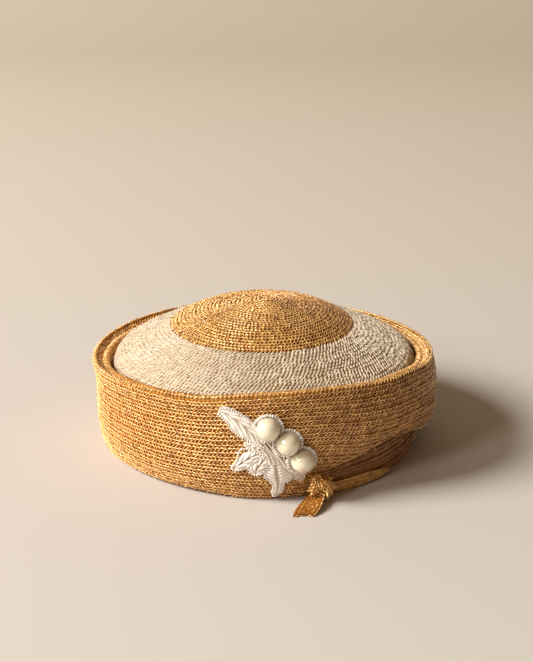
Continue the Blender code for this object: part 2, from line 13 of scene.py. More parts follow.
import bmesh
import bpy
import numpy as np
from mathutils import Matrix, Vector

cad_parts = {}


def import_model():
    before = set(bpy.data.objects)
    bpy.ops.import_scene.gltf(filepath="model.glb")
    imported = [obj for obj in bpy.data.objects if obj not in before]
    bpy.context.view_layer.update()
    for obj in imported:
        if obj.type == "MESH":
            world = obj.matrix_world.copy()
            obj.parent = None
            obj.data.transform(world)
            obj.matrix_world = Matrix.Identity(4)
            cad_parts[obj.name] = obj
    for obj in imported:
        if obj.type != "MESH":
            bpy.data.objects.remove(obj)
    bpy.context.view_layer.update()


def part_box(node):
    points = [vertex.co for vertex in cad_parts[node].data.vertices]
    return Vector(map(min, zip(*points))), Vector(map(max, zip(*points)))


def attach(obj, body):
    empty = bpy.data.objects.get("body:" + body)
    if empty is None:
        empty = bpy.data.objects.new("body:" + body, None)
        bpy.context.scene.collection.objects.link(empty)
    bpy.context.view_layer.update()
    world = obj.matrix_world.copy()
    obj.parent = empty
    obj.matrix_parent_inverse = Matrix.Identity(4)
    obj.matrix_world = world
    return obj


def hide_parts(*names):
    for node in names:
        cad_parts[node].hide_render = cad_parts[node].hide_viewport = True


MM = 0.001
BODY = "root"
LOG = logging.getLogger("straw_hat")


class StitchKind(Enum):
    """How a straw loop runs from its own row to the row under it."""

    HOOK = "hook"
    SLANT = "slant"
    ROPE = "rope"


class Tint(Enum):
    """Names of the attributes that the finishes read."""

    SHADE = "tint"
    KNIT = "knit"


def smooth_rows(rows: np.ndarray, steps: int) -> np.ndarray:
    """Rounds open profiles with a smooth curve through their points.

    Args:
        rows: Profiles as an array of (profiles, points, axes).
        steps: Pieces that each stretch between two points is cut into.

    Returns:
        The rounded profiles, with steps times as many stretches.
    """
    first = 2 * rows[:, :1] - rows[:, 1:2]
    last = 2 * rows[:, -1:] - rows[:, -2:-1]
    padded = np.concatenate((first, rows, last), axis=1)
    before, here, after, beyond = (padded[:, i:len(padded[0]) - 3 + i] for i in range(4))
    parts = []
    for step in range(steps):
        t = step / steps
        parts.append(0.5 * (
            2 * here + (after - before) * t
            + (2 * before - 5 * here + 4 * after - beyond) * t ** 2
            + (3 * here - before - 3 * after + beyond) * t ** 3
        ))
    joined = np.stack(parts, axis=2).reshape(len(rows), -1, rows.shape[2])
    return np.concatenate((joined, rows[:, -1:]), axis=1)


def even_rows(rows: np.ndarray, samples: int) -> np.ndarray:
    """Spaces the points of each profile evenly along its length.

    Args:
        rows: Profiles as an array of (profiles, points, axes).
        samples: Points that each profile gets.

    Returns:
        The evenly spaced profiles.
    """
    steps = np.linalg.norm(np.diff(rows, axis=1), axis=2)
    length = np.concatenate((np.zeros((len(rows), 1)), np.cumsum(steps, axis=1)), axis=1)
    spots = np.linspace(0.0, 1.0, samples)
    out = np.empty((len(rows), samples, rows.shape[2]))
    for index, row in enumerate(rows):
        along = length[index] / length[index, -1]
        for axis in range(rows.shape[2]):
            out[index, :, axis] = np.interp(spots, along, row[:, axis])
    return out


def read_round(azimuth: np.ndarray, table: np.ndarray) -> np.ndarray:
    """Reads a table at any azimuth, on a smooth closed curve through its rows.

    Args:
        azimuth: Azimuths in degrees.
        table: Rows of values, each led by its azimuth.

    Returns:
        One row of values for each azimuth.
    """
    azimuth = np.mod(azimuth, 360.0)
    spots = table[:, 0]
    count = len(spots)
    after = np.searchsorted(spots, azimuth, side="right")
    picks = [after - 2, after - 1, after, after + 1]
    places = [spots[pick % count] + 360.0 * (pick // count) for pick in picks]
    a, b, c, d = (table[pick % count, 1:] for pick in picks)
    step = (places[2] - places[1])[:, None]
    here = (azimuth - places[1])[:, None] / step
    slope_b = (c - a) / (places[2] - places[0])[:, None] * step
    slope_c = (d - b) / (places[3] - places[1])[:, None] * step
    h2 = here ** 2
    h3 = here ** 3
    return (
        (2 * h3 - 3 * h2 + 1) * b + (h3 - 2 * h2 + here) * slope_b
        + (3 * h2 - 2 * h3) * c + (h3 - h2) * slope_c
    )


def offset_rows(rows: np.ndarray, distance: float) -> np.ndarray:
    """Moves profiles of (radius, height) sideways, towards the axis.

    Args:
        rows: Profiles as an array of (profiles, points, 2).
        distance: How far the profiles move, in metres.

    Returns:
        The moved profiles.
    """
    slope = np.gradient(rows, axis=1)
    length = np.linalg.norm(slope, axis=2)
    moved = rows.copy()
    moved[:, :, 0] -= distance * slope[:, :, 1] / length
    moved[:, :, 1] += distance * slope[:, :, 0] / length
    return moved


@dataclass(frozen=True)
class Plan:
    """The hat seen from above: rounds about an upright axis, longer from front to back."""

    axis_x: float
    axis_y: float
    oval: float = 1.04

    def place(self, radius: np.ndarray, azimuth: np.ndarray, height: np.ndarray,
              lean: np.ndarray | float = 0.0) -> np.ndarray:
        """Gives the places of points told by radius, azimuth and height.

        Args:
            radius: Radii across the hat, in metres.
            azimuth: Azimuths in degrees from +X.
            height: Heights over the surface the hat rests on.
            lean: Sideways shift of the points.

        Returns:
            The places, with their three coordinates last.
        """
        angle = np.radians(azimuth)
        across = self.axis_x + radius * np.cos(angle) + lean
        painted_shade = self.axis_y + radius * self.oval * np.sin(angle)
        return np.stack(np.broadcast_arrays(across, painted_shade, height), axis=-1)


@dataclass
class Surface:
    """A smooth sheet given by a grid of places, which stitches and walls are laid on."""

    places: np.ndarray
    closed: bool = True

    def at(self, turn: np.ndarray, share: np.ndarray) -> np.ndarray:
        """Gives places on the sheet.

        Args:
            turn: How far round the sheet, from 0 to 1.
            share: How far up the sheet, from 0 to 1.

        Returns:
            The places on the sheet.
        """
        count, samples, _ = self.places.shape
        if self.closed:
            spot = np.mod(turn, 1.0) * count
        else:
            spot = np.clip(turn, 0.0, 1.0) * (count - 1.0001)
        low = spot.astype(int)
        part = (spot - low)[..., None]
        high = (low + 1) % count
        low = low % count
        level = np.clip(share, 0.0, 1.0) * (samples - 1.0001)
        under = level.astype(int)
        rise = (level - under)[..., None]
        near = (1 - rise) * self.places[low, under] + rise * self.places[low, under + 1]
        far = (1 - rise) * self.places[high, under] + rise * self.places[high, under + 1]
        return (1 - part) * near + part * far

    def axes(self, turn: np.ndarray, share: np.ndarray) -> tuple[np.ndarray, ...]:
        """Gives the sheet's directions at places on it.

        Args:
            turn: How far round the sheet, from 0 to 1.
            share: How far up the sheet, from 0 to 1.

        Returns:
            The directions along a row and out of the sheet, and the lengths that one
            whole turn and the whole height would have at the local rate.
        """
        reach = 0.004
        level = np.clip(share, 0.012, 0.988)
        spot = turn if self.closed else np.clip(turn, reach, 1.0 - reach)
        along = self.at(spot + reach, level) - self.at(spot - reach, level)
        upward = self.at(spot, level + 0.012) - self.at(spot, level - 0.012)
        round_rate = np.linalg.norm(along, axis=-1) / (2 * reach)
        up_rate = np.linalg.norm(upward, axis=-1) / 0.024
        out = np.cross(along, upward)
        out /= np.linalg.norm(out, axis=-1)[..., None]
        along /= np.linalg.norm(along, axis=-1)[..., None]
        return along, out, round_rate, up_rate


def mesh_from_grid(name: str, places: np.ndarray, knit: tuple[float, float],
                   closed_round: bool = True, closed_section: bool = True,
                   capped: bool = False) -> bpy.types.Mesh:
    """Makes a smooth-shaded mesh from a grid of places, with a map in stitches.

    Args:
        name: Name of the mesh.
        places: Places as an array of (round, section, 3).
        knit: Stitches round the form and rows across its section, for the map.
        closed_round: Whether the last column joins the first.
        closed_section: Whether the last point of a section joins its first.
        capped: Whether the open ends of the sections are closed with a face.

    Returns:
        The mesh, whose faces point outwards if the sections run up the outer side.
    """
    around, across, _ = places.shape
    wide = around if closed_round else around - 1
    tall = across if closed_section else across - 1
    i, j = (part.ravel() for part in np.meshgrid(range(wide), range(tall), indexing="ij"))
    corners = ((i, j), (i + 1, j), (i + 1, j + 1), (i, j + 1))
    faces = np.stack([(a % around) * across + b % across for a, b in corners], axis=1)
    spots = np.stack([(a / wide, b / tall) for a, b in corners], axis=0)
    uv = spots.transpose(2, 0, 1).reshape(-1, 2) * np.array(knit)
    polygons = faces.tolist()
    extra = 0
    if capped and closed_round:
        polygons.append([k * across for k in range(around)][::-1])
        polygons.append([k * across + across - 1 for k in range(around)])
        extra = 2 * around
    if capped and not closed_round:
        polygons.append(list(range(across))[::-1])
        polygons.append([(around - 1) * across + k for k in range(across)])
        extra = 2 * across
    mesh = bpy.data.meshes.new(name)
    mesh.from_pydata(places.reshape(-1, 3).tolist(), [], polygons)
    layer = mesh.uv_layers.new(name="straw_map")
    uv = np.concatenate((uv, np.zeros((extra, 2))))
    layer.data.foreach_set("uv", uv.astype(np.float32).ravel())
    mesh.shade_smooth()
    return mesh


def tube_mesh(name: str, path: np.ndarray, radius: np.ndarray, sides: int) -> bpy.types.Mesh:
    """Makes a closed tube along a short open path that runs mostly along X and Y.

    Args:
        name: Name of the mesh.
        path: Points of the path.
        radius: Radius of the tube at each point.
        sides: Faces round the tube.

    Returns:
        The mesh of the tube with both ends capped.
    """
    heading = np.gradient(path, axis=0)
    heading /= np.linalg.norm(heading, axis=1)[:, None]
    side = np.cross(np.array((0.0, 0.0, 1.0)), heading)
    side /= np.linalg.norm(side, axis=1)[:, None]
    top = np.cross(heading, side)
    rings = []
    for turn in range(sides):
        angle = 2 * math.pi * (turn + 0.5) / sides
        rings.append(path + radius[:, None] * (math.cos(angle) * side + math.sin(angle) * top))
    places = np.stack(rings, axis=1)
    mesh = mesh_from_grid(name, places, (1.0, 1.0), closed_round=False, capped=True)
    mesh.flip_normals()
    return mesh


class Wiring:
    """Adds nodes to a tree and joins them by the names of their sockets."""

    def __init__(self, tree: bpy.types.NodeTree) -> None:
        """Keeps the tree that the nodes go into."""
        self.tree = tree

    def node(self, kind: str, inputs: dict[str | int, object] | None = None,
             **settings: object) -> bpy.types.Node:
        """Adds a node, sets its properties and fills or links its inputs.

        Args:
            kind: Blender's name of the node type.
            inputs: Values, or sockets to link, by the input's name or number.
            settings: Properties of the node.

        Returns:
            The new node.
        """
        made = self.tree.nodes.new(kind)
        for name, value in settings.items():
            setattr(made, name, value)
        for name, value in (inputs or {}).items():
            if isinstance(value, bpy.types.NodeSocket):
                self.tree.links.new(value, made.inputs[name])
            else:
                made.inputs[name].default_value = value
        return made

    def math(self, operation: str, *values: object) -> bpy.types.NodeSocket:
        """Adds a Math node on the given values and returns its result socket."""
        inputs = dict(enumerate(values))
        return self.node("ShaderNodeMath", inputs, operation=operation).outputs[0]


@dataclass(frozen=True)
class StitchTree:
    """Node tree that sets one stitch mesh on every point of a row, turned to the surface."""

    seed: int = 7

    def build(self) -> bpy.types.NodeTree:
        """Makes the tree, with its sizes as named inputs, and returns it."""
        tree = bpy.data.node_groups.new("stitches_on_rows", "GeometryNodeTree")
        tree.is_modifier = True
        face = tree.interface
        face.new_socket("Geometry", in_out="INPUT", socket_type="NodeSocketGeometry")
        face.new_socket("Stitch", in_out="INPUT", socket_type="NodeSocketObject")
        face.new_socket("Looseness", in_out="INPUT", socket_type="NodeSocketFloat")
        face.new_socket("Straw", in_out="INPUT", socket_type="NodeSocketMaterial")
        face.new_socket("Geometry", in_out="OUTPUT", socket_type="NodeSocketGeometry")
        wiring = Wiring(tree)
        given = wiring.node("NodeGroupInput").outputs
        vectors = {}
        for name in ("along", "normal", "size"):
            reader = wiring.node(
                "GeometryNodeInputNamedAttribute", {"Name": name}, data_type="FLOAT_VECTOR"
            )
            vectors[name] = reader.outputs["Attribute"]
        facing = wiring.node(
            "FunctionNodeAxesToRotation",
            {"Primary Axis": vectors["normal"], "Secondary Axis": vectors["along"]},
            primary_axis="Z", secondary_axis="X",
        )
        sway = wiring.node(
            "FunctionNodeRandomValue",
            {"Min": (-1.0, -1.0, -1.0), "Max": (1.0, 1.0, 1.0), "Seed": self.seed},
            data_type="FLOAT_VECTOR",
        )
        swing = wiring.node(
            "ShaderNodeVectorMath",
            {0: sway.outputs["Value"], "Scale": given["Looseness"]},
            operation="SCALE",
        )
        swung = wiring.node("FunctionNodeEulerToRotation", {0: swing.outputs["Vector"]})
        turned = wiring.node(
            "FunctionNodeRotateRotation",
            {"Rotation": facing.outputs[0], "Rotate By": swung.outputs[0]},
            rotation_space="LOCAL",
        )
        source = wiring.node(
            "GeometryNodeObjectInfo", {"Object": given["Stitch"], "As Instance": True}
        )
        placed = wiring.node("GeometryNodeInstanceOnPoints", {
            "Points": given["Geometry"],
            "Instance": source.outputs["Geometry"],
            "Rotation": turned.outputs[0],
            "Scale": vectors["size"],
        })
        real = wiring.node("GeometryNodeRealizeInstances", {"Geometry": placed.outputs[0]})
        dressed = wiring.node(
            "GeometryNodeSetMaterial",
            {"Geometry": real.outputs[0], "Material": given["Straw"]},
        )
        wiring.node("NodeGroupOutput", {"Geometry": dressed.outputs[0]})
        return tree


@dataclass(frozen=True)
class StrandTree:
    """Node tree that turns drawn lines into round strands of thread or straw."""

    def build(self) -> bpy.types.NodeTree:
        """Makes the tree, with its sizes as named inputs, and returns it."""
        tree = bpy.data.node_groups.new("strands_on_lines", "GeometryNodeTree")
        tree.is_modifier = True
        face = tree.interface
        face.new_socket("Geometry", in_out="INPUT", socket_type="NodeSocketGeometry")
        face.new_socket("Strand Radius", in_out="INPUT", socket_type="NodeSocketFloat")
        face.new_socket("Sides", in_out="INPUT", socket_type="NodeSocketInt")
        face.new_socket("Thread", in_out="INPUT", socket_type="NodeSocketMaterial")
        face.new_socket("Geometry", in_out="OUTPUT", socket_type="NodeSocketGeometry")
        wiring = Wiring(tree)
        given = wiring.node("NodeGroupInput").outputs
        line = wiring.node("GeometryNodeMeshToCurve", {"Mesh": given["Geometry"]})
        ring = wiring.node(
            "GeometryNodeCurvePrimitiveCircle",
            {"Resolution": given["Sides"], "Radius": given["Strand Radius"]},
        )
        tube = wiring.node("GeometryNodeCurveToMesh", {
            "Curve": line.outputs[0],
            "Profile Curve": ring.outputs["Curve"],
            "Fill Caps": True,
        })
        shaded = wiring.node("GeometryNodeSetShadeSmooth", {"Geometry": tube.outputs[0]})
        real = wiring.node("GeometryNodeRealizeInstances", {"Geometry": shaded.outputs[0]})
        dressed = wiring.node(
            "GeometryNodeSetMaterial",
            {"Geometry": real.outputs[0], "Material": given["Thread"]},
        )
        wiring.node("NodeGroupOutput", {"Geometry": dressed.outputs[0]})
        return tree


def run_tree(piece: bpy.types.Object, tree: bpy.types.NodeTree,
             values: dict[str, object]) -> None:
    """Runs a node tree on a piece and keeps its result as the piece's plain mesh.

    Args:
        piece: Object that holds the points or lines.
        tree: Node tree to run.
        values: Values of the tree's inputs, by name.
    """
    modifier = piece.modifiers.new(tree.name, "NODES")
    modifier.node_group = tree
    for socket in tree.interface.items_tree:
        if socket.in_out == "INPUT" and socket.name in values:
            modifier[socket.identifier] = values[socket.name]
    graph = bpy.context.evaluated_depsgraph_get()
    graph.update()
    made = bpy.data.meshes.new_from_object(piece.evaluated_get(graph))
    piece.modifiers.remove(modifier)
    piece.data = made
    for name in ("along", "normal", "size"):
        spare = made.attributes.get(name)
        if spare is not None:
            made.attributes.remove(spare)


def add_piece(name: str, mesh: bpy.types.Mesh, finish: bpy.types.Material | None = None
              ) -> bpy.types.Object:
    """Puts a mesh into the scene as an object at the origin.

    Args:
        name: Name of the object.
        mesh: Its mesh, placed in the hat's frame.
        finish: Material of the whole mesh.

    Returns:
        The new object.
    """
    piece = bpy.data.objects.new(name, mesh)
    bpy.context.scene.collection.objects.link(piece)
    if finish is not None:
        mesh.materials.clear()
        mesh.materials.append(finish)
    return piece


def settle(piece: bpy.types.Object, slot: str, *nodes: str) -> bpy.types.Object:
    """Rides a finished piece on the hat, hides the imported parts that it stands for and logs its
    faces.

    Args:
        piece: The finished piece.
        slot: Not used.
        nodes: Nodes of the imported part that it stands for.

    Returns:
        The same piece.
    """
    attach(piece, BODY)
    if nodes:
        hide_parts(*nodes)
    LOG.info("%s: %d faces", piece.name, len(piece.data.polygons))
    return piece


@dataclass(frozen=True)
class StrawFinish:
    """Glossy straw: two shades mixed by the mesh's tint, which holds painted light and shade besides
    a random tone, with fine fibres.
    """

    name: str
    dark: tuple[float, float, float]
    light: tuple[float, float, float]
    roughness: float = 0.42
    gloss: float = 0.5
    coat: float = 1.0
    metal: float = 0.25
    fibre: float = 0.35
    knit: float = 0.0
    glow: float = 0.0

    def build(self) -> bpy.types.Material:
        """Makes the material and returns it."""
        made = bpy.data.materials.new(self.name)
        made.use_nodes = True
        wiring = Wiring(made.node_tree)
        shader = made.node_tree.nodes["Principled BSDF"]
        place = wiring.node("ShaderNodeTexCoord").outputs["Object"]
        patches = wiring.node("ShaderNodeTexNoise", {
            "Vector": place, "Scale": 55.0, "Detail": 2.0, "Roughness": 0.5,
        })
        fibres = wiring.node("ShaderNodeTexNoise", {
            "Vector": place, "Scale": 1600.0, "Detail": 2.0, "Roughness": 0.6,
        })
        tint = wiring.node(
            "ShaderNodeAttribute", attribute_name=Tint.SHADE.value, attribute_type="GEOMETRY"
        )
        shade = wiring.math("MULTIPLY_ADD", fibres.outputs[0], 0.5, -0.25)
        shade = wiring.math("MULTIPLY_ADD", patches.outputs[0], 0.35, shade)
        # The tint paints light and shade on the cuff, crown and walls: paler on the lit side, darker
        # on the shaded side and under the cuff's fold.
        shade = wiring.math("MULTIPLY_ADD", tint.outputs["Fac"], 0.85, shade)
        bump_height = wiring.math("MULTIPLY", fibres.outputs[0], self.fibre)
        if self.knit > 0.0:
            chart = wiring.node("ShaderNodeUVMap", uv_map="straw_map")
            parts = wiring.node("ShaderNodeSeparateXYZ", {0: chart.outputs[0]})
            row = wiring.math("SINE", wiring.math("MULTIPLY", parts.outputs[1], 2 * math.pi))
            shift = wiring.math("MULTIPLY", parts.outputs[1], 0.5)
            across = wiring.math("ADD", parts.outputs[0], shift)
            loop = wiring.math("SINE", wiring.math("MULTIPLY", across, 2 * math.pi))
            relief = wiring.math("MULTIPLY_ADD", loop, 0.5, row)
            # Painted shade: the knit relief also darkens the colour in its hollows.
            shade = wiring.math("MULTIPLY_ADD", relief, 0.16, shade)
            bump_height = wiring.math("MULTIPLY_ADD", relief, self.knit, bump_height)
        ramp = wiring.node("ShaderNodeMix", {
            0: shade, 6: (*self.dark, 1.0), 7: (*self.light, 1.0),
        }, data_type="RGBA", clamp_factor=True)
        bump = wiring.node("ShaderNodeBump", {
            "Height": bump_height, "Strength": 0.6, "Distance": 0.25 * MM,
        })
        made.node_tree.links.new(ramp.outputs[2], shader.inputs["Base Color"])
        made.node_tree.links.new(bump.outputs[0], shader.inputs["Normal"])
        shader.inputs["Roughness"].default_value = self.roughness
        shader.inputs["Specular IOR Level"].default_value = self.gloss
        shader.inputs["Coat Weight"].default_value = self.coat
        shader.inputs["Specular Tint"].default_value = (1.0, 0.92, 0.72, 1.0)
        shader.inputs["Coat IOR"].default_value = 1.75
        shader.inputs["Coat Roughness"].default_value = 0.2
        shader.inputs["Metallic"].default_value = self.metal
        if self.glow > 0.0:
            shader.inputs["Subsurface Weight"].default_value = self.glow
            shader.inputs["Subsurface Radius"].default_value = (1.0, 0.5, 0.2)
            shader.inputs["Subsurface Scale"].default_value = 1.2 * MM
        return made


@dataclass(frozen=True)
class ThreadFinish:
    """Matte embroidery thread, darker where the mesh's tint paints shade, in the leaves' grooves and
    between their laid threads.
    """

    name: str = "lace_thread"
    dark: tuple[float, float, float] = (0.60, 0.47, 0.35)
    light: tuple[float, float, float] = (1.0, 0.97, 0.92)

    def build(self) -> bpy.types.Material:
        """Makes the material and returns it."""
        made = bpy.data.materials.new(self.name)
        made.use_nodes = True
        wiring = Wiring(made.node_tree)
        shader = made.node_tree.nodes["Principled BSDF"]
        place = wiring.node("ShaderNodeTexCoord").outputs["Object"]
        patches = wiring.node("ShaderNodeTexNoise", {
            "Vector": place, "Scale": 260.0, "Detail": 3.0, "Roughness": 0.6,
        })
        fuzz = wiring.node("ShaderNodeTexNoise", {
            "Vector": place, "Scale": 2600.0, "Detail": 2.0, "Roughness": 0.6,
        })
        painted_shade = wiring.node(
            "ShaderNodeAttribute", attribute_name=Tint.SHADE.value, attribute_type="GEOMETRY"
        )
        shade = wiring.math("MULTIPLY_ADD", patches.outputs[0], 0.5, 0.45)
        shade = wiring.math("MULTIPLY_ADD", fuzz.outputs[0], 0.3, shade)
        # Painted shade: the attribute darkens the leaves between their threads and in their rib
        # grooves; on the edging loops it is a random tint.
        shade = wiring.math("MULTIPLY_ADD", painted_shade.outputs["Fac"], -1.0, shade)
        ramp = wiring.node("ShaderNodeMix", {
            0: shade, 6: (*self.dark, 1.0), 7: (*self.light, 1.0),
        }, data_type="RGBA", clamp_factor=True)
        bump = wiring.node("ShaderNodeBump", {
            "Height": fuzz.outputs[0], "Strength": 0.5, "Distance": 0.10 * MM,
        })
        made.node_tree.links.new(ramp.outputs[2], shader.inputs["Base Color"])
        made.node_tree.links.new(bump.outputs[0], shader.inputs["Normal"])
        shader.inputs["Roughness"].default_value = 0.72
        shader.inputs["Specular IOR Level"].default_value = 0.35
        shader.inputs["Sheen Weight"].default_value = 0.25
        shader.inputs["Sheen Roughness"].default_value = 0.5
        return made


@dataclass(frozen=True)
class PearlFinish:
    """Imitation pearl: ivory with painted grey-lilac shade round the dome's rim, under a clear coat.
    """

    name: str = "pearl_lustre"
    ivory: tuple[float, float, float] = (0.90, 0.83, 0.61)
    # Colour of the painted shade round the dome's rim.
    side: tuple[float, float, float] = (0.56, 0.50, 0.41)

    def build(self) -> bpy.types.Material:
        """Makes the material and returns it."""
        made = bpy.data.materials.new(self.name)
        made.use_nodes = True
        wiring = Wiring(made.node_tree)
        shader = made.node_tree.nodes["Principled BSDF"]
        place = wiring.node("ShaderNodeTexCoord").outputs["Object"]
        cloud = wiring.node("ShaderNodeTexNoise", {
            "Vector": place, "Scale": 170.0, "Detail": 2.0, "Roughness": 0.45,
        })
        drop = wiring.node(
            "ShaderNodeAttribute", attribute_name=Tint.SHADE.value, attribute_type="GEOMETRY"
        )
        # Painted shade: the colour turns grey-lilac towards the dome's rim.
        edge = wiring.math("POWER", drop.outputs["Fac"], 2.5)
        turn = wiring.math("MULTIPLY_ADD", cloud.outputs[0], 0.5, -0.2)
        turn = wiring.math("MULTIPLY_ADD", edge, 0.8, turn)
        ramp = wiring.node("ShaderNodeMix", {
            0: turn, 6: (*self.ivory, 1.0), 7: (*self.side, 1.0),
        }, data_type="RGBA", clamp_factor=True)
        bump = wiring.node("ShaderNodeBump", {
            "Height": cloud.outputs[0], "Strength": 0.25, "Distance": 0.25 * MM,
        })
        made.node_tree.links.new(ramp.outputs[2], shader.inputs["Base Color"])
        made.node_tree.links.new(bump.outputs[0], shader.inputs["Normal"])
        shader.inputs["Roughness"].default_value = 0.30
        shader.inputs["Specular IOR Level"].default_value = 0.6
        shader.inputs["Coat Weight"].default_value = 1.0
        shader.inputs["Coat IOR"].default_value = 2.0
        shader.inputs["Coat Roughness"].default_value = 0.07
        shader.inputs["Subsurface Weight"].default_value = 0.15
        shader.inputs["Subsurface Radius"].default_value = (1.0, 0.8, 0.6)
        shader.inputs["Subsurface Scale"].default_value = 2.0 * MM
        return made


@dataclass(frozen=True)
class FloorFinish:
    """Smooth warm paper of the floor and backdrop, with painted light that makes it paler and warmer
    towards the back.
    """

    name: str = "warm_paper"
    color: tuple[float, float, float] = (0.568, 0.529, 0.498)
    far: tuple[float, float, float] = (0.63, 0.575, 0.49)

    def build(self) -> bpy.types.Material:
        """Makes the material and returns it."""
        made = bpy.data.materials.new(self.name)
        made.use_nodes = True
        wiring = Wiring(made.node_tree)
        shader = made.node_tree.nodes["Principled BSDF"]
        place = wiring.node("ShaderNodeTexCoord").outputs["Object"]
        grain = wiring.node("ShaderNodeTexNoise", {
            "Vector": place, "Scale": 4.0, "Detail": 2.0,
        })
        parts = wiring.node("ShaderNodeSeparateXYZ", {0: place})
        # Painted light: the paper's colour turns paler and warmer towards the back.
        far = wiring.math("MULTIPLY_ADD", parts.outputs[1], 0.9, -0.1)
        far = wiring.math("MULTIPLY_ADD", grain.outputs[0], 0.1, far)
        ramp = wiring.node("ShaderNodeMix", {
            0: far, 6: (*self.color, 1.0), 7: (*self.far, 1.0),
        }, data_type="RGBA", clamp_factor=True)
        made.node_tree.links.new(ramp.outputs[2], shader.inputs["Base Color"])
        shader.inputs["Roughness"].default_value = 0.9
        shader.inputs["Specular IOR Level"].default_value = 0.2
        return made


@dataclass(frozen=True)
class Stitch:
    """One crocheted loop, one stitch wide and one row high, drawn in those units."""

    kind: StitchKind = StitchKind.HOOK
    thickness: float = 0.21
    relief: float = 0.26
    sides: int = 4

    def path(self) -> np.ndarray:
        """Gives the loop's centre line for its kind."""
        high = self.relief
        if self.kind is StitchKind.ROPE:
            return np.array((
                (-0.58, -0.48, 0.0), (-0.26, -0.30, high), (0.10, 0.18, high),
                (0.58, 0.42, 0.0),
            ))
        if self.kind is StitchKind.SLANT:
            return np.array((
                (-0.64, -0.34, -0.10), (-0.32, -0.40, 0.7 * high), (0.02, 0.00, high),
                (0.30, 0.42, 0.9 * high), (0.64, 0.38, -0.10),
            ))
        return np.array((
            (-0.64, 0.18, 0.2 * high), (-0.18, 0.32, 0.9 * high), (0.28, 0.40, 1.1 * high),
            (0.47, 0.08, 0.9 * high), (0.12, -0.38, 0.4 * high), (-0.32, -0.78, -0.3 * high),
        ))

    def build(self, name: str) -> bpy.types.Object:
        """Makes the loop as a hidden source object and returns it."""
        path = self.path()
        radius = np.full(len(path), self.thickness)
        radius[0] *= 0.8
        radius[-1] *= 0.8
        mesh = tube_mesh(name, path, radius, self.sides)
        source = add_piece(name, mesh)
        source.hide_render = True
        return source


@dataclass
class Workshop:
    """Node trees and finishes that the hat's pieces share."""

    stitches: bpy.types.NodeTree
    strands: bpy.types.NodeTree
    gold: bpy.types.Material
    gold_deep: bpy.types.Material
    gold_wall: bpy.types.Material
    cream: bpy.types.Material
    cream_wall: bpy.types.Material
    tie: bpy.types.Material
    tie_wall: bpy.types.Material
    lace: bpy.types.Material
    lace_bead: bpy.types.Material
    pearl: bpy.types.Material


@dataclass
class Rows:
    """Stitches in rows on a surface, gathered before a node tree sets them."""

    places: list[np.ndarray] = field(default_factory=list)
    along: list[np.ndarray] = field(default_factory=list)
    normal: list[np.ndarray] = field(default_factory=list)
    size: list[np.ndarray] = field(default_factory=list)
    tint: list[np.ndarray] = field(default_factory=list)

    def add(self, surface: Surface, turn: np.ndarray, share: np.ndarray, width: np.ndarray,
            height: np.ndarray, rng: np.random.Generator, lift: float = 0.0,
            shade: np.ndarray | float = 0.5) -> None:
        """Adds one row of stitches.

        Args:
            surface: Sheet that the row lies on.
            turn: Places of the stitches round the sheet.
            share: Places of the stitches up the sheet.
            width: Width of each stitch, in metres.
            height: Height of the row at each stitch, in metres.
            rng: Source of the small differences between stitches.
            lift: How far the stitches stand off the sheet.
            shade: Tint that the stitches vary about, from 0 to 1.
        """
        along, out, _, _ = surface.axes(turn, share)
        place = surface.at(turn, share) + out * lift
        place += along * (rng.normal(0.0, 0.035, len(turn)) * width)[:, None]
        relief = 0.5 * (width + height)
        grow = 1.0 + rng.normal(0.0, 0.07, len(turn))
        place += out * (rng.normal(0.0, 0.04, len(turn)) * width)[:, None]
        self.places.append(place)
        self.along.append(along)
        self.normal.append(out)
        self.size.append(np.stack((width * grow, height * grow, relief), axis=1))
        self.tint.append(np.clip(shade + rng.normal(0.0, 0.22, len(turn)), 0.0, 1.0))

    def make(self, name: str, stitch: bpy.types.Object, straw: bpy.types.Material,
             tree: bpy.types.NodeTree, looseness: float = 0.08) -> bpy.types.Object:
        """Sets the stitches and returns them as one piece.

        Args:
            name: Name of the piece.
            stitch: Source object of the loop.
            straw: Finish of the loops.
            tree: Node tree that sets them.
            looseness: How far the loops turn at random, in radians.

        Returns:
            The piece with its plain mesh.
        """
        mesh = bpy.data.meshes.new(name)
        mesh.from_pydata(np.concatenate(self.places).tolist(), [], [])
        for key in ("along", "normal", "size"):
            layer = mesh.attributes.new(key, "FLOAT_VECTOR", "POINT")
            values = np.concatenate(getattr(self, key)).astype(np.float32)
            layer.data.foreach_set("vector", values.ravel())
        layer = mesh.attributes.new(Tint.SHADE.value, "FLOAT", "POINT")
        layer.data.foreach_set("value", np.concatenate(self.tint).astype(np.float32))
        piece = add_piece(name, mesh)
        run_tree(piece, tree, {"Stitch": stitch, "Looseness": looseness, "Straw": straw})
        keep_above_floor(piece.data)
        return piece


def keep_above_floor(mesh: bpy.types.Mesh) -> None:
    """Flattens whatever would dip under the surface that the hat rests on."""
    flat = np.empty(3 * len(mesh.vertices), np.float32)
    mesh.vertices.foreach_get("co", flat)
    flat[2::3] = np.maximum(flat[2::3], 0.0)
    mesh.vertices.foreach_set("co", flat)
    mesh.update()


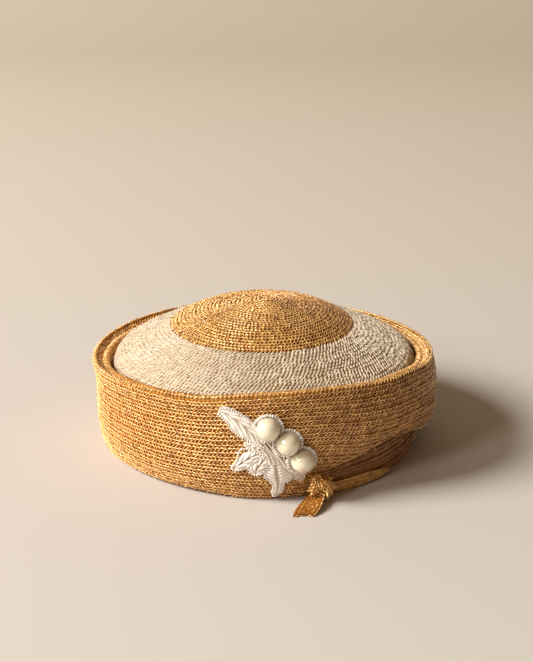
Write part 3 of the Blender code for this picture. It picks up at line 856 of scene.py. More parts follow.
def strand_piece(name: str, lines: list[np.ndarray], closed: list[bool], radius: float,
                 sides: int, thread: bpy.types.Material, tree: bpy.types.NodeTree,
                 tint: float = 0.5) -> bpy.types.Object:
    """Makes round strands along drawn lines.

    Args:
        name: Name of the piece.
        lines: Points of each line.
        closed: Whether each line returns to its start.
        radius: Radius of the strands.
        sides: Faces round a strand.
        thread: Finish of the strands.
        tree: Node tree that makes them.
        tint: Shade of the strands, from 0 to 1.

    Returns:
        The piece with its plain mesh.
    """
    points: list[list[float]] = []
    edges: list[tuple[int, int]] = []
    for line, loop in zip(lines, closed):
        start = len(points)
        points += line.tolist()
        edges += [(start + i, start + i + 1) for i in range(len(line) - 1)]
        if loop:
            edges.append((start + len(line) - 1, start))
    mesh = bpy.data.meshes.new(name)
    mesh.from_pydata(points, edges, [])
    layer = mesh.attributes.new(Tint.SHADE.value, "FLOAT", "POINT")
    layer.data.foreach_set("value", np.full(len(points), tint, np.float32))
    piece = add_piece(name, mesh)
    run_tree(piece, tree, {"Strand Radius": radius, "Sides": sides, "Thread": thread})
    keep_above_floor(piece.data)
    return piece


@dataclass
class CuffShape:
    """The cuff's outer side: a tall band, tucked over its lower edge on the right."""

    plan: Plan
    base_radius: float = 90.5 * MM
    rim_radius: float = 101.5 * MM
    height: float = 66.0 * MM
    straw: float = 2.0 * MM
    foot_lift: float = 1.2 * MM
    lip_rise: float = 1.2 * MM
    tuck_rise: float = 2.4 * MM
    bulge_round: float = 5.0 * MM
    columns: int = 260
    samples: int = 121
    table: tuple[tuple[float, ...], ...] = (
        (0.0, 1.012, 0.996, 0.990, 0.858, 0.125, 1.00, 0.2),
        (22.0, 1.010, 0.996, 0.991, 0.828, 0.115, 0.90, 0.2),
        (45.0, 1.000, 0.988, 0.996, 0.810, 0.100, 0.60, 0.2),
        (70.0, 1.000, 0.978, 1.000, 0.814, 0.070, 0.15, 0.2),
        (95.0, 1.000, 0.975, 1.000, 0.816, 0.050, 0.00, 0.2),
        (125.0, 1.005, 0.972, 1.000, 0.815, 0.050, 0.00, 0.2),
        (155.0, 1.025, 0.967, 0.992, 0.812, 0.050, 0.00, 0.2),
        (180.0, 1.050, 0.965, 0.986, 0.820, 0.050, 0.00, 0.2),
        (200.0, 1.010, 0.962, 0.985, 0.846, 0.050, 0.00, 0.3),
        (216.0, 0.980, 0.957, 0.983, 0.880, 0.050, 0.00, 0.6),
        (234.0, 0.972, 0.958, 0.985, 0.899, 0.050, 0.00, 1.0),
        (250.0, 0.975, 0.958, 0.983, 0.914, 0.050, 0.00, 1.0),
        (264.0, 0.994, 0.960, 0.980, 0.958, 0.050, 0.00, 0.6),
        (278.0, 0.990, 0.963, 0.980, 0.980, 0.070, 0.05, 0.3),
        (290.0, 0.985, 0.968, 0.984, 0.986, 0.160, 0.45, 0.2),
        (301.0, 0.988, 0.975, 0.990, 0.974, 0.280, 0.85, 0.2),
        (314.0, 0.990, 0.983, 0.991, 0.950, 0.365, 1.00, 0.2),
        (327.0, 0.987, 0.990, 0.991, 0.938, 0.345, 1.00, 0.2),
        (343.0, 0.994, 0.996, 0.990, 0.884, 0.240, 1.00, 0.2),
    )
    profile: tuple[tuple[float, float, float], ...] = (
        (0.00, 0.00, 0.00), (0.09, 0.38, 0.00), (0.18, 0.66, 0.00), (0.27, 0.86, 0.00),
        (0.36, 0.97, 0.00), (0.45, 1.00, 0.00), (0.54, 1.00, 0.01), (0.63, 1.00, 0.03),
        (0.72, 1.00, 0.08), (0.80, 1.00, 0.18), (0.88, 1.00, 0.48), (0.94, 1.00, 0.88),
        (1.00, 1.00, 1.00),
    )

    def sizes(self, azimuth: np.ndarray) -> dict[str, np.ndarray]:
        """Gives the cuff's sizes at azimuths, in metres, with the tuck as a share."""
        foot, belly, rim, height, fold, tuck, lift = read_round(
            np.atleast_1d(np.asarray(azimuth, float)), np.array(self.table)
        ).T
        return {
            "foot": foot * self.base_radius,
            "belly": belly * self.rim_radius,
            "rim": rim * self.rim_radius,
            "top": height * self.height,
            "fold": fold * self.height,
            "tuck": np.clip(tuck, 0.0, 1.0),
            "lift": lift * self.foot_lift,
        }

    def outer(self, azimuth: np.ndarray) -> np.ndarray:
        """Gives the outer profile at azimuths, from the foot up, as radius and height."""
        size = self.sizes(azimuth)
        foot, belly, rim = size["foot"], size["belly"], size["rim"]
        top, fold, lift = size["top"], size["fold"], size["lift"]
        plain = [
            np.stack((
                foot + to_belly * (belly - foot) + to_rim * (rim - belly),
                lift + share * (top - lift),
            ), axis=1)
            for share, to_belly, to_rim in self.profile
        ]
        depth = belly - foot
        rise = self.tuck_rise
        swell = self.bulge_round
        tucked = [
            (foot, lift),
            (foot + 0.05 * depth, lift + 0.50 * (fold - lift)),
            (foot + 0.02 * depth, fold),
            (foot + 0.10 * depth, fold + rise),
            (foot + 0.42 * depth, fold + 0.45 * rise),
            (foot + 0.74 * depth, fold + 0.25 * swell + 0.2 * rise),
            (foot + 0.93 * depth, fold + swell),
        ]
        start = tucked[-1]
        steps = len(self.profile) - len(tucked)
        for step in range(1, steps + 1):
            share = step / steps
            bulge = math.sin(math.pi * min(1.0, share * 0.9 + 0.1)) ** 0.8
            radius = start[0] + share * (rim - start[0]) + 0.30 * bulge * depth
            tucked.append((radius, start[1] + share * (top - start[1])))
        tuck = size["tuck"][:, None, None]
        folded = np.stack([np.stack(pair, axis=1) for pair in tucked], axis=1)
        return (1 - tuck) * np.stack(plain, axis=1) + tuck * folded

    def radius_at(self, azimuth: np.ndarray, height: np.ndarray) -> np.ndarray:
        """Gives the outer side's radius at heights, on its lowest wall from below."""
        rows = self.outer(azimuth)
        found = np.where(height < rows[:, 0, 1], rows[:, 0, 0], rows[:, -1, 0])
        done = height < rows[:, 0, 1]
        for low, high in zip(range(len(rows[0]) - 1), range(1, len(rows[0]))):
            span = rows[:, high, 1] - rows[:, low, 1]
            inside = (rows[:, low, 1] <= height) & (height <= rows[:, high, 1]) & ~done
            share = (height - rows[:, low, 1]) / np.where(span == 0.0, 1.0, span)
            radius = rows[:, low, 0] + share * (rows[:, high, 0] - rows[:, low, 0])
            found = np.where(inside, radius, found)
            done |= inside
        return found

    def front_place(self, across: np.ndarray, height: np.ndarray, lift: np.ndarray
                    ) -> np.ndarray:
        """Gives places on the front by the way round it, the height and the lift off it.

        Args:
            across: Way round the cuff from the front's middle, in metres.
            height: Heights over the base.
            lift: How far the places stand off the cuff.

        Returns:
            The places.
        """
        across, height, lift = (
            np.asarray(part, float).ravel() for part in np.broadcast_arrays(across, height, lift)
        )
        belly = self.sizes(np.array([270.0]))["belly"][0]
        azimuth = 270.0 + np.degrees(across / belly)
        radius = self.radius_at(azimuth, height)
        step = self.straw
        slope = self.radius_at(azimuth, height + step) - self.radius_at(azimuth, height - step)
        tilt = np.arctan2(slope, 2 * step)
        out = radius + lift * np.cos(tilt)
        return self.plan.place(out, azimuth, height - lift * np.sin(tilt))

    def surface(self, sink: float = 0.0) -> Surface:
        """Makes the outer side as a smooth sheet, sunk into the wall by a distance."""
        azimuth = np.arange(self.columns) * 360.0 / self.columns
        rows = self.outer(azimuth)
        rows[:, -1, 1] -= self.lip_rise
        rows = even_rows(smooth_rows(rows, 6), self.samples)
        if sink:
            rows = offset_rows(rows, sink)
        spots = azimuth[:, None]
        return Surface(self.plan.place(rows[:, :, 0], spots, rows[:, :, 1]))

    def wall(self, sink: float) -> np.ndarray:
        """Gives the closed section of the wall all round, its outer side sunk a little."""
        azimuth = np.arange(self.columns) * 360.0 / self.columns
        rows = self.outer(azimuth)
        top = rows[:, -1:].copy()
        rows[:, -1, 1] -= self.lip_rise
        rows = even_rows(smooth_rows(rows, 4), 51)
        outer = offset_rows(rows, sink)
        inner = offset_rows(rows, self.straw)[:, ::-1]
        lip = top.copy()
        lip[:, :, 0] -= 0.5 * self.straw
        lip[:, :, 1] -= 0.2 * MM
        section = np.concatenate((outer, lip, inner), axis=1)
        section[:, :, 1] = np.maximum(section[:, :, 1], 0.2 * self.foot_lift)
        return self.plan.place(section[:, :, 0], azimuth[:, None], section[:, :, 1])


@dataclass
class CrownShape:
    """The crown: a gold domed disc inside a cream ring with a turned-down edge."""

    plan: Plan
    cuff: CuffShape
    radius: float = 90.0 * MM
    height: float = 86.5 * MM
    shoulder: float = 38.0 * MM
    lean: float = 1.5 * MM
    peak_lean: float = 4.0 * MM
    tip_radius: float = 54.0 * MM
    hem: float = 5.0 * MM
    hem_turn: float = 1.0 * MM
    straw: float = 2.0 * MM
    gap: float = 0.3 * MM
    columns: int = 240
    profile: tuple[tuple[float, float], ...] = (
        (0.000, 1.000), (0.155, 0.967), (0.311, 0.916), (0.444, 0.845), (0.600, 0.705),
        (0.711, 0.617), (0.811, 0.528), (0.889, 0.458), (0.944, 0.396), (0.972, 0.336),
        (0.992, 0.237), (0.998, 0.124), (1.000, 0.000),
    )

    def height_at(self, radius: np.ndarray) -> np.ndarray:
        """Gives the dome's height at radii, on a smooth curve through its profile."""
        curve = smooth_rows(np.array(self.profile)[None], 8)[0]
        rise = np.interp(radius / self.radius, curve[:, 0], curve[:, 1])
        return self.shoulder + (self.height - self.shoulder) * rise

    def lean_at(self, radius: np.ndarray) -> np.ndarray:
        """Gives the dome's sideways lean at radii: at its peak, and out at its edge."""
        share = (radius - self.tip_radius) / (self.radius - self.tip_radius)
        peak = np.clip(1.0 - radius / self.tip_radius, 0.0, 1.0)
        return self.lean * np.clip(share, 0.0, 1.0) + self.peak_lean * peak

    def band_top(self, azimuth: np.ndarray) -> np.ndarray:
        """Gives the side band's outer radius under the crown."""
        size = self.cuff.sizes(azimuth)
        lean = self.lean * np.cos(np.radians(azimuth))
        foot = size["foot"] - self.straw - self.gap
        room = (1.0 - size["tuck"]) * self.straw
        return np.minimum(self.radius - self.hem_turn + lean, foot + room)

    def ring_rows(self) -> tuple[np.ndarray, np.ndarray]:
        """Gives the azimuths and the ring's outer profiles, from its edge to the disc."""
        azimuth = np.arange(self.columns) * 360.0 / self.columns
        start = self.tip_radius + self.gap
        share = np.array((0.0, 0.12, 0.24, 0.36, 0.48, 0.60, 0.72, 0.82, 0.90, 0.96, 0.99))
        radius = start + share * (self.radius - start)
        dome = np.stack((radius, self.height_at(radius)), axis=1)
        dome = np.broadcast_to(dome, (self.columns, len(share), 2))
        fold = np.empty((self.columns, 2, 2))
        fold[:, 0, 0] = self.radius - 0.1 * self.hem_turn
        fold[:, 0, 1] = self.shoulder + 0.25 * self.hem
        edge = self.band_top(azimuth) - self.lean * np.cos(np.radians(azimuth))
        fold[:, 1, 0] = edge
        fold[:, 1, 1] = self.shoulder - self.hem
        rows = np.concatenate((dome, fold), axis=1)[:, ::-1]
        return azimuth, smooth_rows(rows, 5)

    def place_rows(self, azimuth: np.ndarray, rows: np.ndarray) -> np.ndarray:
        """Places profiles of the crown, leaning them as the dome leans."""
        radius = rows[:, :, 0]
        return self.plan.place(radius, azimuth[:, None], rows[:, :, 1], self.lean_at(radius))

    def ring_surface(self) -> Surface:
        """Makes the cream ring's outer side as a smooth sheet, from its edge inwards."""
        azimuth, rows = self.ring_rows()
        return Surface(self.place_rows(azimuth, even_rows(rows, 81)))

    def ring_wall(self, sink: float) -> np.ndarray:
        """Gives the closed section of the ring's wall all round."""
        azimuth, rows = self.ring_rows()
        rows = even_rows(rows, 41)
        outer = offset_rows(rows, sink)
        inner = offset_rows(rows, self.straw)[:, ::-1]
        inner[:, 0, 0] = self.tip_radius + self.gap
        inner[:, -1, 1] = rows[:, 0, 1]
        return self.place_rows(azimuth, np.concatenate((outer, inner), axis=1))

    def tip_rows(self, inner: float) -> np.ndarray:
        """Gives the disc's outer profile, from its edge to a small radius at its middle."""
        radius = np.linspace(self.tip_radius, inner, 60)
        return np.stack((radius, self.height_at(radius)), axis=1)[None]

    def tip_surface(self) -> Surface:
        """Makes the gold disc's outer side as a smooth sheet, from its edge inwards."""
        azimuth = np.arange(self.columns) * 360.0 / self.columns
        rows = even_rows(self.tip_rows(0.2 * MM), 81)
        return Surface(self.place_rows(azimuth, rows))

    def tip_wall(self, sink: float) -> np.ndarray:
        """Gives the open section of the disc's wall, from its inner to its outer middle."""
        azimuth = np.arange(self.columns) * 360.0 / self.columns
        rows = even_rows(self.tip_rows(0.4 * MM), 37)
        outer = rows.copy()
        outer[:, :, 1] -= sink
        inner = rows[:, ::-1].copy()
        inner[:, :, 1] -= 1.1 * self.straw
        return self.place_rows(azimuth, np.concatenate((inner, outer), axis=1))


@dataclass
class FacingShape:
    """The cuff's inner layer: a folded lip against the cuff and a wall inside it."""

    plan: Plan
    cuff: CuffShape
    crown: CrownShape
    rim_width: float = 8.7 * MM
    hem_depth: float = 3.4 * MM
    hem_thickness: float = 2.8 * MM
    crevice: float = 0.9 * MM
    ledge: float = 1.2 * MM
    rim_slope: float = 2.8 * MM
    columns: int = 240

    def drop(self, azimuth: np.ndarray) -> np.ndarray:
        """Gives how far the inner lip hangs under the cuff's lip: least at the front."""
        front = np.clip(0.42 + 0.58 * np.cos(np.radians(azimuth - 248.0)), 0.0, 1.0)
        return self.rim_slope * (1.0 - 0.7 * front)

    def section(self, azimuth: np.ndarray) -> np.ndarray:
        """Gives the closed section at azimuths, as radius and height."""
        size = self.cuff.sizes(azimuth)
        rim, top = size["rim"], size["top"]
        straw, lip_rise = self.cuff.straw, self.cuff.lip_rise
        lip = rim - self.rim_width
        shelf = top - self.hem_depth
        room = 1.15 * straw + self.crown.gap
        ledge = top - self.ledge
        drop = self.drop(azimuth)
        hem_top = self.cuff.radius_at(azimuth, ledge) - room
        hem_foot = self.cuff.radius_at(azimuth, shelf - self.hem_thickness) - room
        low = self.crown.shoulder + straw + 0.0 * rim
        lean = self.crown.lean * np.cos(np.radians(azimuth))
        foot = self.crown.radius + lean + self.crevice
        waist = 0.5 * (foot + lip)
        middle = 0.5 * (low + top)
        points = (
            (foot + straw, low),
            (waist + 1.15 * straw, middle),
            (lip + 1.10 * straw, shelf - 2.0 * self.hem_thickness),
            (hem_foot, shelf - self.hem_thickness),
            (hem_top, ledge),
            (0.5 * (hem_top + lip) + 0.4 * straw, ledge - 0.55 * drop - 0.3 * lip_rise),
            (lip + 1.15 * straw, top - 0.5 * lip_rise - drop),
            (lip + 0.60 * straw, top - 0.1 * lip_rise - drop),
            (lip, top - lip_rise - drop),
            (lip, shelf - self.hem_thickness),
            (waist, middle),
            (foot, low),
        )
        return np.stack([np.stack(pair, axis=1) for pair in points], axis=1)

    def wall(self) -> np.ndarray:
        """Gives the closed section of the facing all round, with rounded folds."""
        azimuth = np.arange(self.columns) * 360.0 / self.columns
        rows = self.section(azimuth)
        upper = even_rows(smooth_rows(rows[:, 4:], 4), 40)
        section = np.concatenate((rows[:, :4], upper), axis=1)
        return self.plan.place(section[:, :, 0], azimuth[:, None], section[:, :, 1])

    def inner_surface(self) -> Surface:
        """Makes the side that faces the crown as a sheet, from the lip down."""
        azimuth = np.arange(self.columns) * 360.0 / self.columns
        rows = even_rows(smooth_rows(self.section(azimuth)[:, 8:], 4), 41)
        return Surface(self.plan.place(rows[:, :, 0], azimuth[:, None], rows[:, :, 1]))

    def lip_surface(self) -> Surface:
        """Makes the rounded lip as a sheet, from the groove over to the crown's side."""
        azimuth = np.arange(self.columns) * 360.0 / self.columns
        rows = even_rows(smooth_rows(self.section(azimuth)[:, 4:9], 5), 41)
        return Surface(self.plan.place(rows[:, :, 0], azimuth[:, None], rows[:, :, 1]))


@dataclass
class StrawBody:
    """The hat's straw pieces: cuff, facing, crown and side band, with their crochet."""

    plan: Plan
    shop: Workshop
    cuff: CuffShape
    crown: CrownShape
    facing: FacingShape
    cuff_rows: int = 26
    cuff_stitches: int = 268
    ring_pitch: float = 2.5 * MM
    ring_stitch: float = 2.35 * MM
    tip_pitch: float = 2.3 * MM
    tip_stitch: float = 2.15 * MM
    facing_pitch: float = 2.6 * MM
    sink: float = 0.8 * MM
    # Azimuth where the painted light is palest, on the key light's side.
    painted_lit_side: float = 205.0

    def painted_light(self, turn: np.ndarray) -> np.ndarray:
        """Gives the straw's painted light round the hat: a tint palest on the lit side and darkest on
        the far side.
        """
        return 0.46 + 0.26 * np.cos(2 * math.pi * turn - math.radians(self.painted_lit_side))

    def walls(self) -> None:
        """Makes the closed straw walls that the crochet lies on."""
        parts = (
            ("cuff_wall", self.cuff.wall(self.sink), (250.0, 52.0), False, "cuff"),
            ("facing_wall", self.facing.wall(), (240.0, 24.0), False, "cuff_facing"),
            ("side_wall", self.side_band(), (230.0, 28.0), False, "side_band"),
            ("crown_ring_wall", self.crown.ring_wall(0.3 * self.sink), (200.0, 38.0), True,
             "crown_ring"),
        )
        for name, places, knit, cream, node in parts:
            finish = self.shop.cream_wall if cream else self.shop.gold_wall
            piece = add_piece(name, mesh_from_grid(name, places, knit), finish)
            # Painted light and shade on the walls: paler on the lit side, much darker on the shaded
            # side, where the wall shows between the stitches.
            wall_painted_light = 1.8 * self.painted_light(np.arange(len(places)) / len(places)) - 0.6
            layer = piece.data.attributes.new(Tint.SHADE.value, "FLOAT", "POINT")
            layer.data.foreach_set(
                "value", np.repeat(wall_painted_light, places.shape[1]).astype(np.float32)
            )
            settle(piece, "cream_straw" if cream else "gold_straw", node)
        tip = mesh_from_grid(
            "crown_tip_wall", self.crown.tip_wall(self.sink), (120.0, 44.0),
            closed_section=False, capped=True,
        )
        piece = add_piece("crown_tip_wall", tip, self.shop.gold_wall)
        settle(piece, "gold_straw", "crown_tip")

    def side_band(self) -> np.ndarray:
        """Gives the closed section of the wall under the crown."""
        azimuth = np.arange(240) * 1.5
        size = self.cuff.sizes(azimuth)
        foot = size["foot"] - self.cuff.straw - self.crown.gap
        top = self.crown.band_top(azimuth)
        height = self.crown.shoulder - self.crown.hem - self.crown.gap
        rows = [
            np.stack((foot + share ** 1.6 * (top - foot), share * height + 0.0 * foot), axis=1)
            for share in np.linspace(0.0, 1.0, 13)
        ]
        outer = np.stack(rows, axis=1)
        inner = outer[:, ::-1].copy()
        inner[:, :, 0] -= self.cuff.straw
        section = np.concatenate((outer, inner), axis=1)
        return self.plan.place(section[:, :, 0], azimuth[:, None], section[:, :, 1])

    def cuff_crochet(self, hook: bpy.types.Object) -> None:
        """Sets the cuff's outer rows of stitches, in a lower and an upper piece."""
        surface = self.cuff.surface(0.4 * MM)
        rng = np.random.default_rng(11)
        halves = (("cuff_crochet_lower", range(0, 13)), ("cuff_crochet_upper", range(13, 26)))
        for name, levels in halves:
            rows = Rows()
            for level in levels:
                count = self.cuff_stitches
                turn = (np.arange(count) + 0.5 * (level % 2)) / count
                wave = 0.10 * np.sin(2 * math.pi * (5 * turn + 0.37 * level))
                share = (level + 0.5 + wave) / self.cuff_rows
                _, _, round_rate, up_rate = surface.axes(turn, share)
                size = self.cuff.sizes(turn * 360.0)
                # Painted shade under the tuck's fold, and painted light round the hat, both set in
                # the stitches' tint.
                over = surface.at(turn, share)[:, 2] - size["fold"]
                painted_shade = size["tuck"] * np.clip(0.5 - over / (4.0 * MM), 0.0, 1.0)
                high = up_rate / self.cuff_rows * (0.77 + 0.3 * self.painted_light(turn))
                rows.add(surface, turn, share, round_rate / count, high, rng,
                         shade=self.painted_light(turn) - 0.7 * painted_shade)
            piece = rows.make(name, hook, self.shop.gold, self.shop.stitches, 0.17)
            settle(piece, "gold_straw")

    def rim_rope(self, hook: bpy.types.Object) -> None:
        """Sets the rows of loops over the rim, from the cuff's lip to the facing's lip."""
        rng = np.random.default_rng(23)
        rows = Rows()
        lip = self.facing.lip_surface()
        count = 262
        for surface, share, lift, high in (
            (lip, 0.10, -0.30 * MM, 2.2 * MM),
            (lip, 0.34, -0.30 * MM, 2.2 * MM),
            (lip, 0.58, -0.30 * MM, 2.2 * MM),
            (lip, 0.82, -0.40 * MM, 2.2 * MM),
        ):
            turn = (np.arange(count) + 0.5 * share) / count
            level = np.full(count, share)
            _, _, round_rate, _ = surface.axes(turn, level)
            rows.add(surface, turn, level, round_rate / count, np.full(count, high), rng,
                     lift=lift, shade=0.6)
        top = self.lip_top_surface()
        turn = np.arange(count) / count
        _, _, round_rate, _ = top.axes(turn, np.full(count, 0.5))
        rows.add(top, turn, np.full(count, 0.5), round_rate / count, np.full(count, 2.0 * MM),
                 rng, shade=0.6)
        piece = rows.make("rim_chain", hook, self.shop.gold, self.shop.stitches, 0.15)
        settle(piece, "gold_straw")

    def lip_top_surface(self) -> Surface:
        """Makes the top of the cuff's lip as a narrow sheet, running inwards."""
        azimuth = np.arange(360.0)
        size = self.cuff.sizes(azimuth)
        radius = size["rim"][:, None] - self.cuff.straw * np.array((0.2, 0.5, 0.8))
        height = size["top"][:, None] - 0.35 * MM + 0.0 * radius
        return Surface(self.plan.place(radius, azimuth[:, None], height))

    def facing_crochet(self, rope: bpy.types.Object) -> None:
        """Sets the rows of stitches on the facing's inner side, from the lip down."""
        surface = self.facing.inner_surface()
        rng = np.random.default_rng(31)
        rows = Rows()
        count = 232
        for level in range(9):
            turn = (np.arange(count) + 0.5 * (level % 2)) / count
            _, _, round_rate, up_rate = surface.axes(turn, np.full(count, 0.5))
            share = (level + 0.7) * self.facing_pitch / up_rate
            kept = share < 0.97
            if not kept.any():
                break
            high = np.full(count, self.facing_pitch)
            rows.add(surface, turn[kept], share[kept], (round_rate / count)[kept], high[kept],
                     rng, lift=-0.1 * MM)
        piece = rows.make("facing_crochet", rope, self.shop.gold_deep, self.shop.stitches, 0.15)
        settle(piece, "gold_straw")

    def crown_crochet(self, slant: bpy.types.Object, hook: bpy.types.Object) -> None:
        """Sets the crown's rings of stitches: cream on the ring, gold on the disc."""
        rng = np.random.default_rng(43)
        parts = (
            ("crown_crochet_cream", self.crown.ring_surface(), self.ring_pitch,
             self.ring_stitch, slant, self.shop.cream, "cream_straw"),
            ("crown_crochet_gold", self.crown.tip_surface(), self.tip_pitch,
             self.tip_stitch, hook, self.shop.gold, "gold_straw"),
        )
        for name, surface, pitch, stitch, source, straw, slot in parts:
            rows = Rows()
            middle = np.array([0.25])
            _, _, _, up_rate = surface.axes(middle, np.array([0.5]))
            levels = int(round(float(up_rate[0]) / pitch))
            for level in range(levels):
                share = (level + 0.5) / levels
                _, _, length, _ = surface.axes(middle, np.array([share]))
                count = max(6, int(round(float(length[0]) / stitch)))
                turn = (np.arange(count) + rng.uniform(0.0, 1.0)) / count
                drift = share + 0.08 / levels * np.sin(2 * math.pi * (3 * turn + 0.21 * level))
                _, _, round_rate, rise = surface.axes(turn, drift)
                # Painted light: the gold disc is paler on its lit side and darker on its shaded side;
                # the cream ring gets the reverse, darkened on its lit side.
                painted_light = 0.75 - 0.6 * self.painted_light(turn) if straw is self.shop.cream else self.painted_light(turn)
                rows.add(surface, turn, drift, round_rate / count, rise / levels, rng,
                         lift=-0.25 * MM, shade=painted_light)
            piece = rows.make(name, source, straw, self.shop.stitches, 0.2)
            settle(piece, slot)

    def build(self) -> None:
        """Makes every straw piece of the hat."""
        hook = Stitch(StitchKind.HOOK, thickness=0.2, relief=0.3).build("loop_hook")
        slant = Stitch(StitchKind.SLANT, thickness=0.31, relief=0.10).build("loop_slant")
        bead = Stitch(StitchKind.HOOK, thickness=0.22, relief=0.24).build("loop_bead")
        rope = Stitch(StitchKind.ROPE, thickness=0.25, relief=0.20).build("loop_rope")
        self.walls()
        self.cuff_crochet(hook)
        self.rim_rope(hook)
        self.facing_crochet(rope)
        self.crown_crochet(slant, bead)
        for source in (hook, slant, bead, rope):
            bpy.data.objects.remove(source, do_unlink=True)


@dataclass(frozen=True)
class Leaf:
    """One embroidered leaf, drawn in millimetres from the middle of the front's foot.

    Its two edges and its rib run from the base to the tip with as many points each.
    """

    low: tuple[tuple[float, float], ...]
    rib: tuple[tuple[float, float], ...]
    high: tuple[tuple[float, float], ...]
    swell: float = 1.2
    level: float = 0.6
    run: float = 0.3
    slant: float = 1.0
    inset: float = 0.0
    corded: tuple[bool, bool] = (True, True)

    def edge(self, points: tuple[tuple[float, float], ...], samples: int) -> np.ndarray:
        """Gives even places on a smooth line through drawn points."""
        return even_rows(smooth_rows(np.array(points)[None], 8), samples)[0]

    def grid(self, along: int, across: int) -> tuple[np.ndarray, np.ndarray]:
        """Gives the leaf's flat places and how far each lies from the rib to an edge.

        Args:
            along: Points from the base to the tip.
            across: Points from edge to edge.

        Returns:
            The places, and the signed shares from the rib, in the order of the points.
        """
        side = np.linspace(-1.0, 1.0, across)
        low = self.edge(self.low, along)[:, None]
        rib = self.edge(self.rib, along)[:, None]
        high = self.edge(self.high, along)[:, None]
        part = np.abs(side)[None, :, None]
        slit = np.sin(math.pi * np.linspace(0.0, 1.0, along))[:, None, None] ** 2
        high = high + (rib - high) * self.inset * slit
        flat = np.where(side[None, :, None] < 0.0, rib + part * (low - rib),
                        rib + part * (high - rib))
        return flat, side

    def outline(self, pitch: float) -> list[np.ndarray]:
        """Gives the corded edges as evenly spaced places, in millimetres."""
        low = smooth_rows(np.array(self.low)[None], 8)[0]
        high = smooth_rows(np.array(self.high)[None], 8)[0]
        lines = []
        if all(self.corded):
            lines.append(np.concatenate((low, high[::-1])))
        elif self.corded[0]:
            lines.append(low)
        elif self.corded[1]:
            lines.append(high)
        evened = []
        for line in lines:
            length = np.linalg.norm(np.diff(line, axis=0), axis=1).sum()
            evened.append(even_rows(line[None], max(6, int(length / pitch)))[0])
        return evened


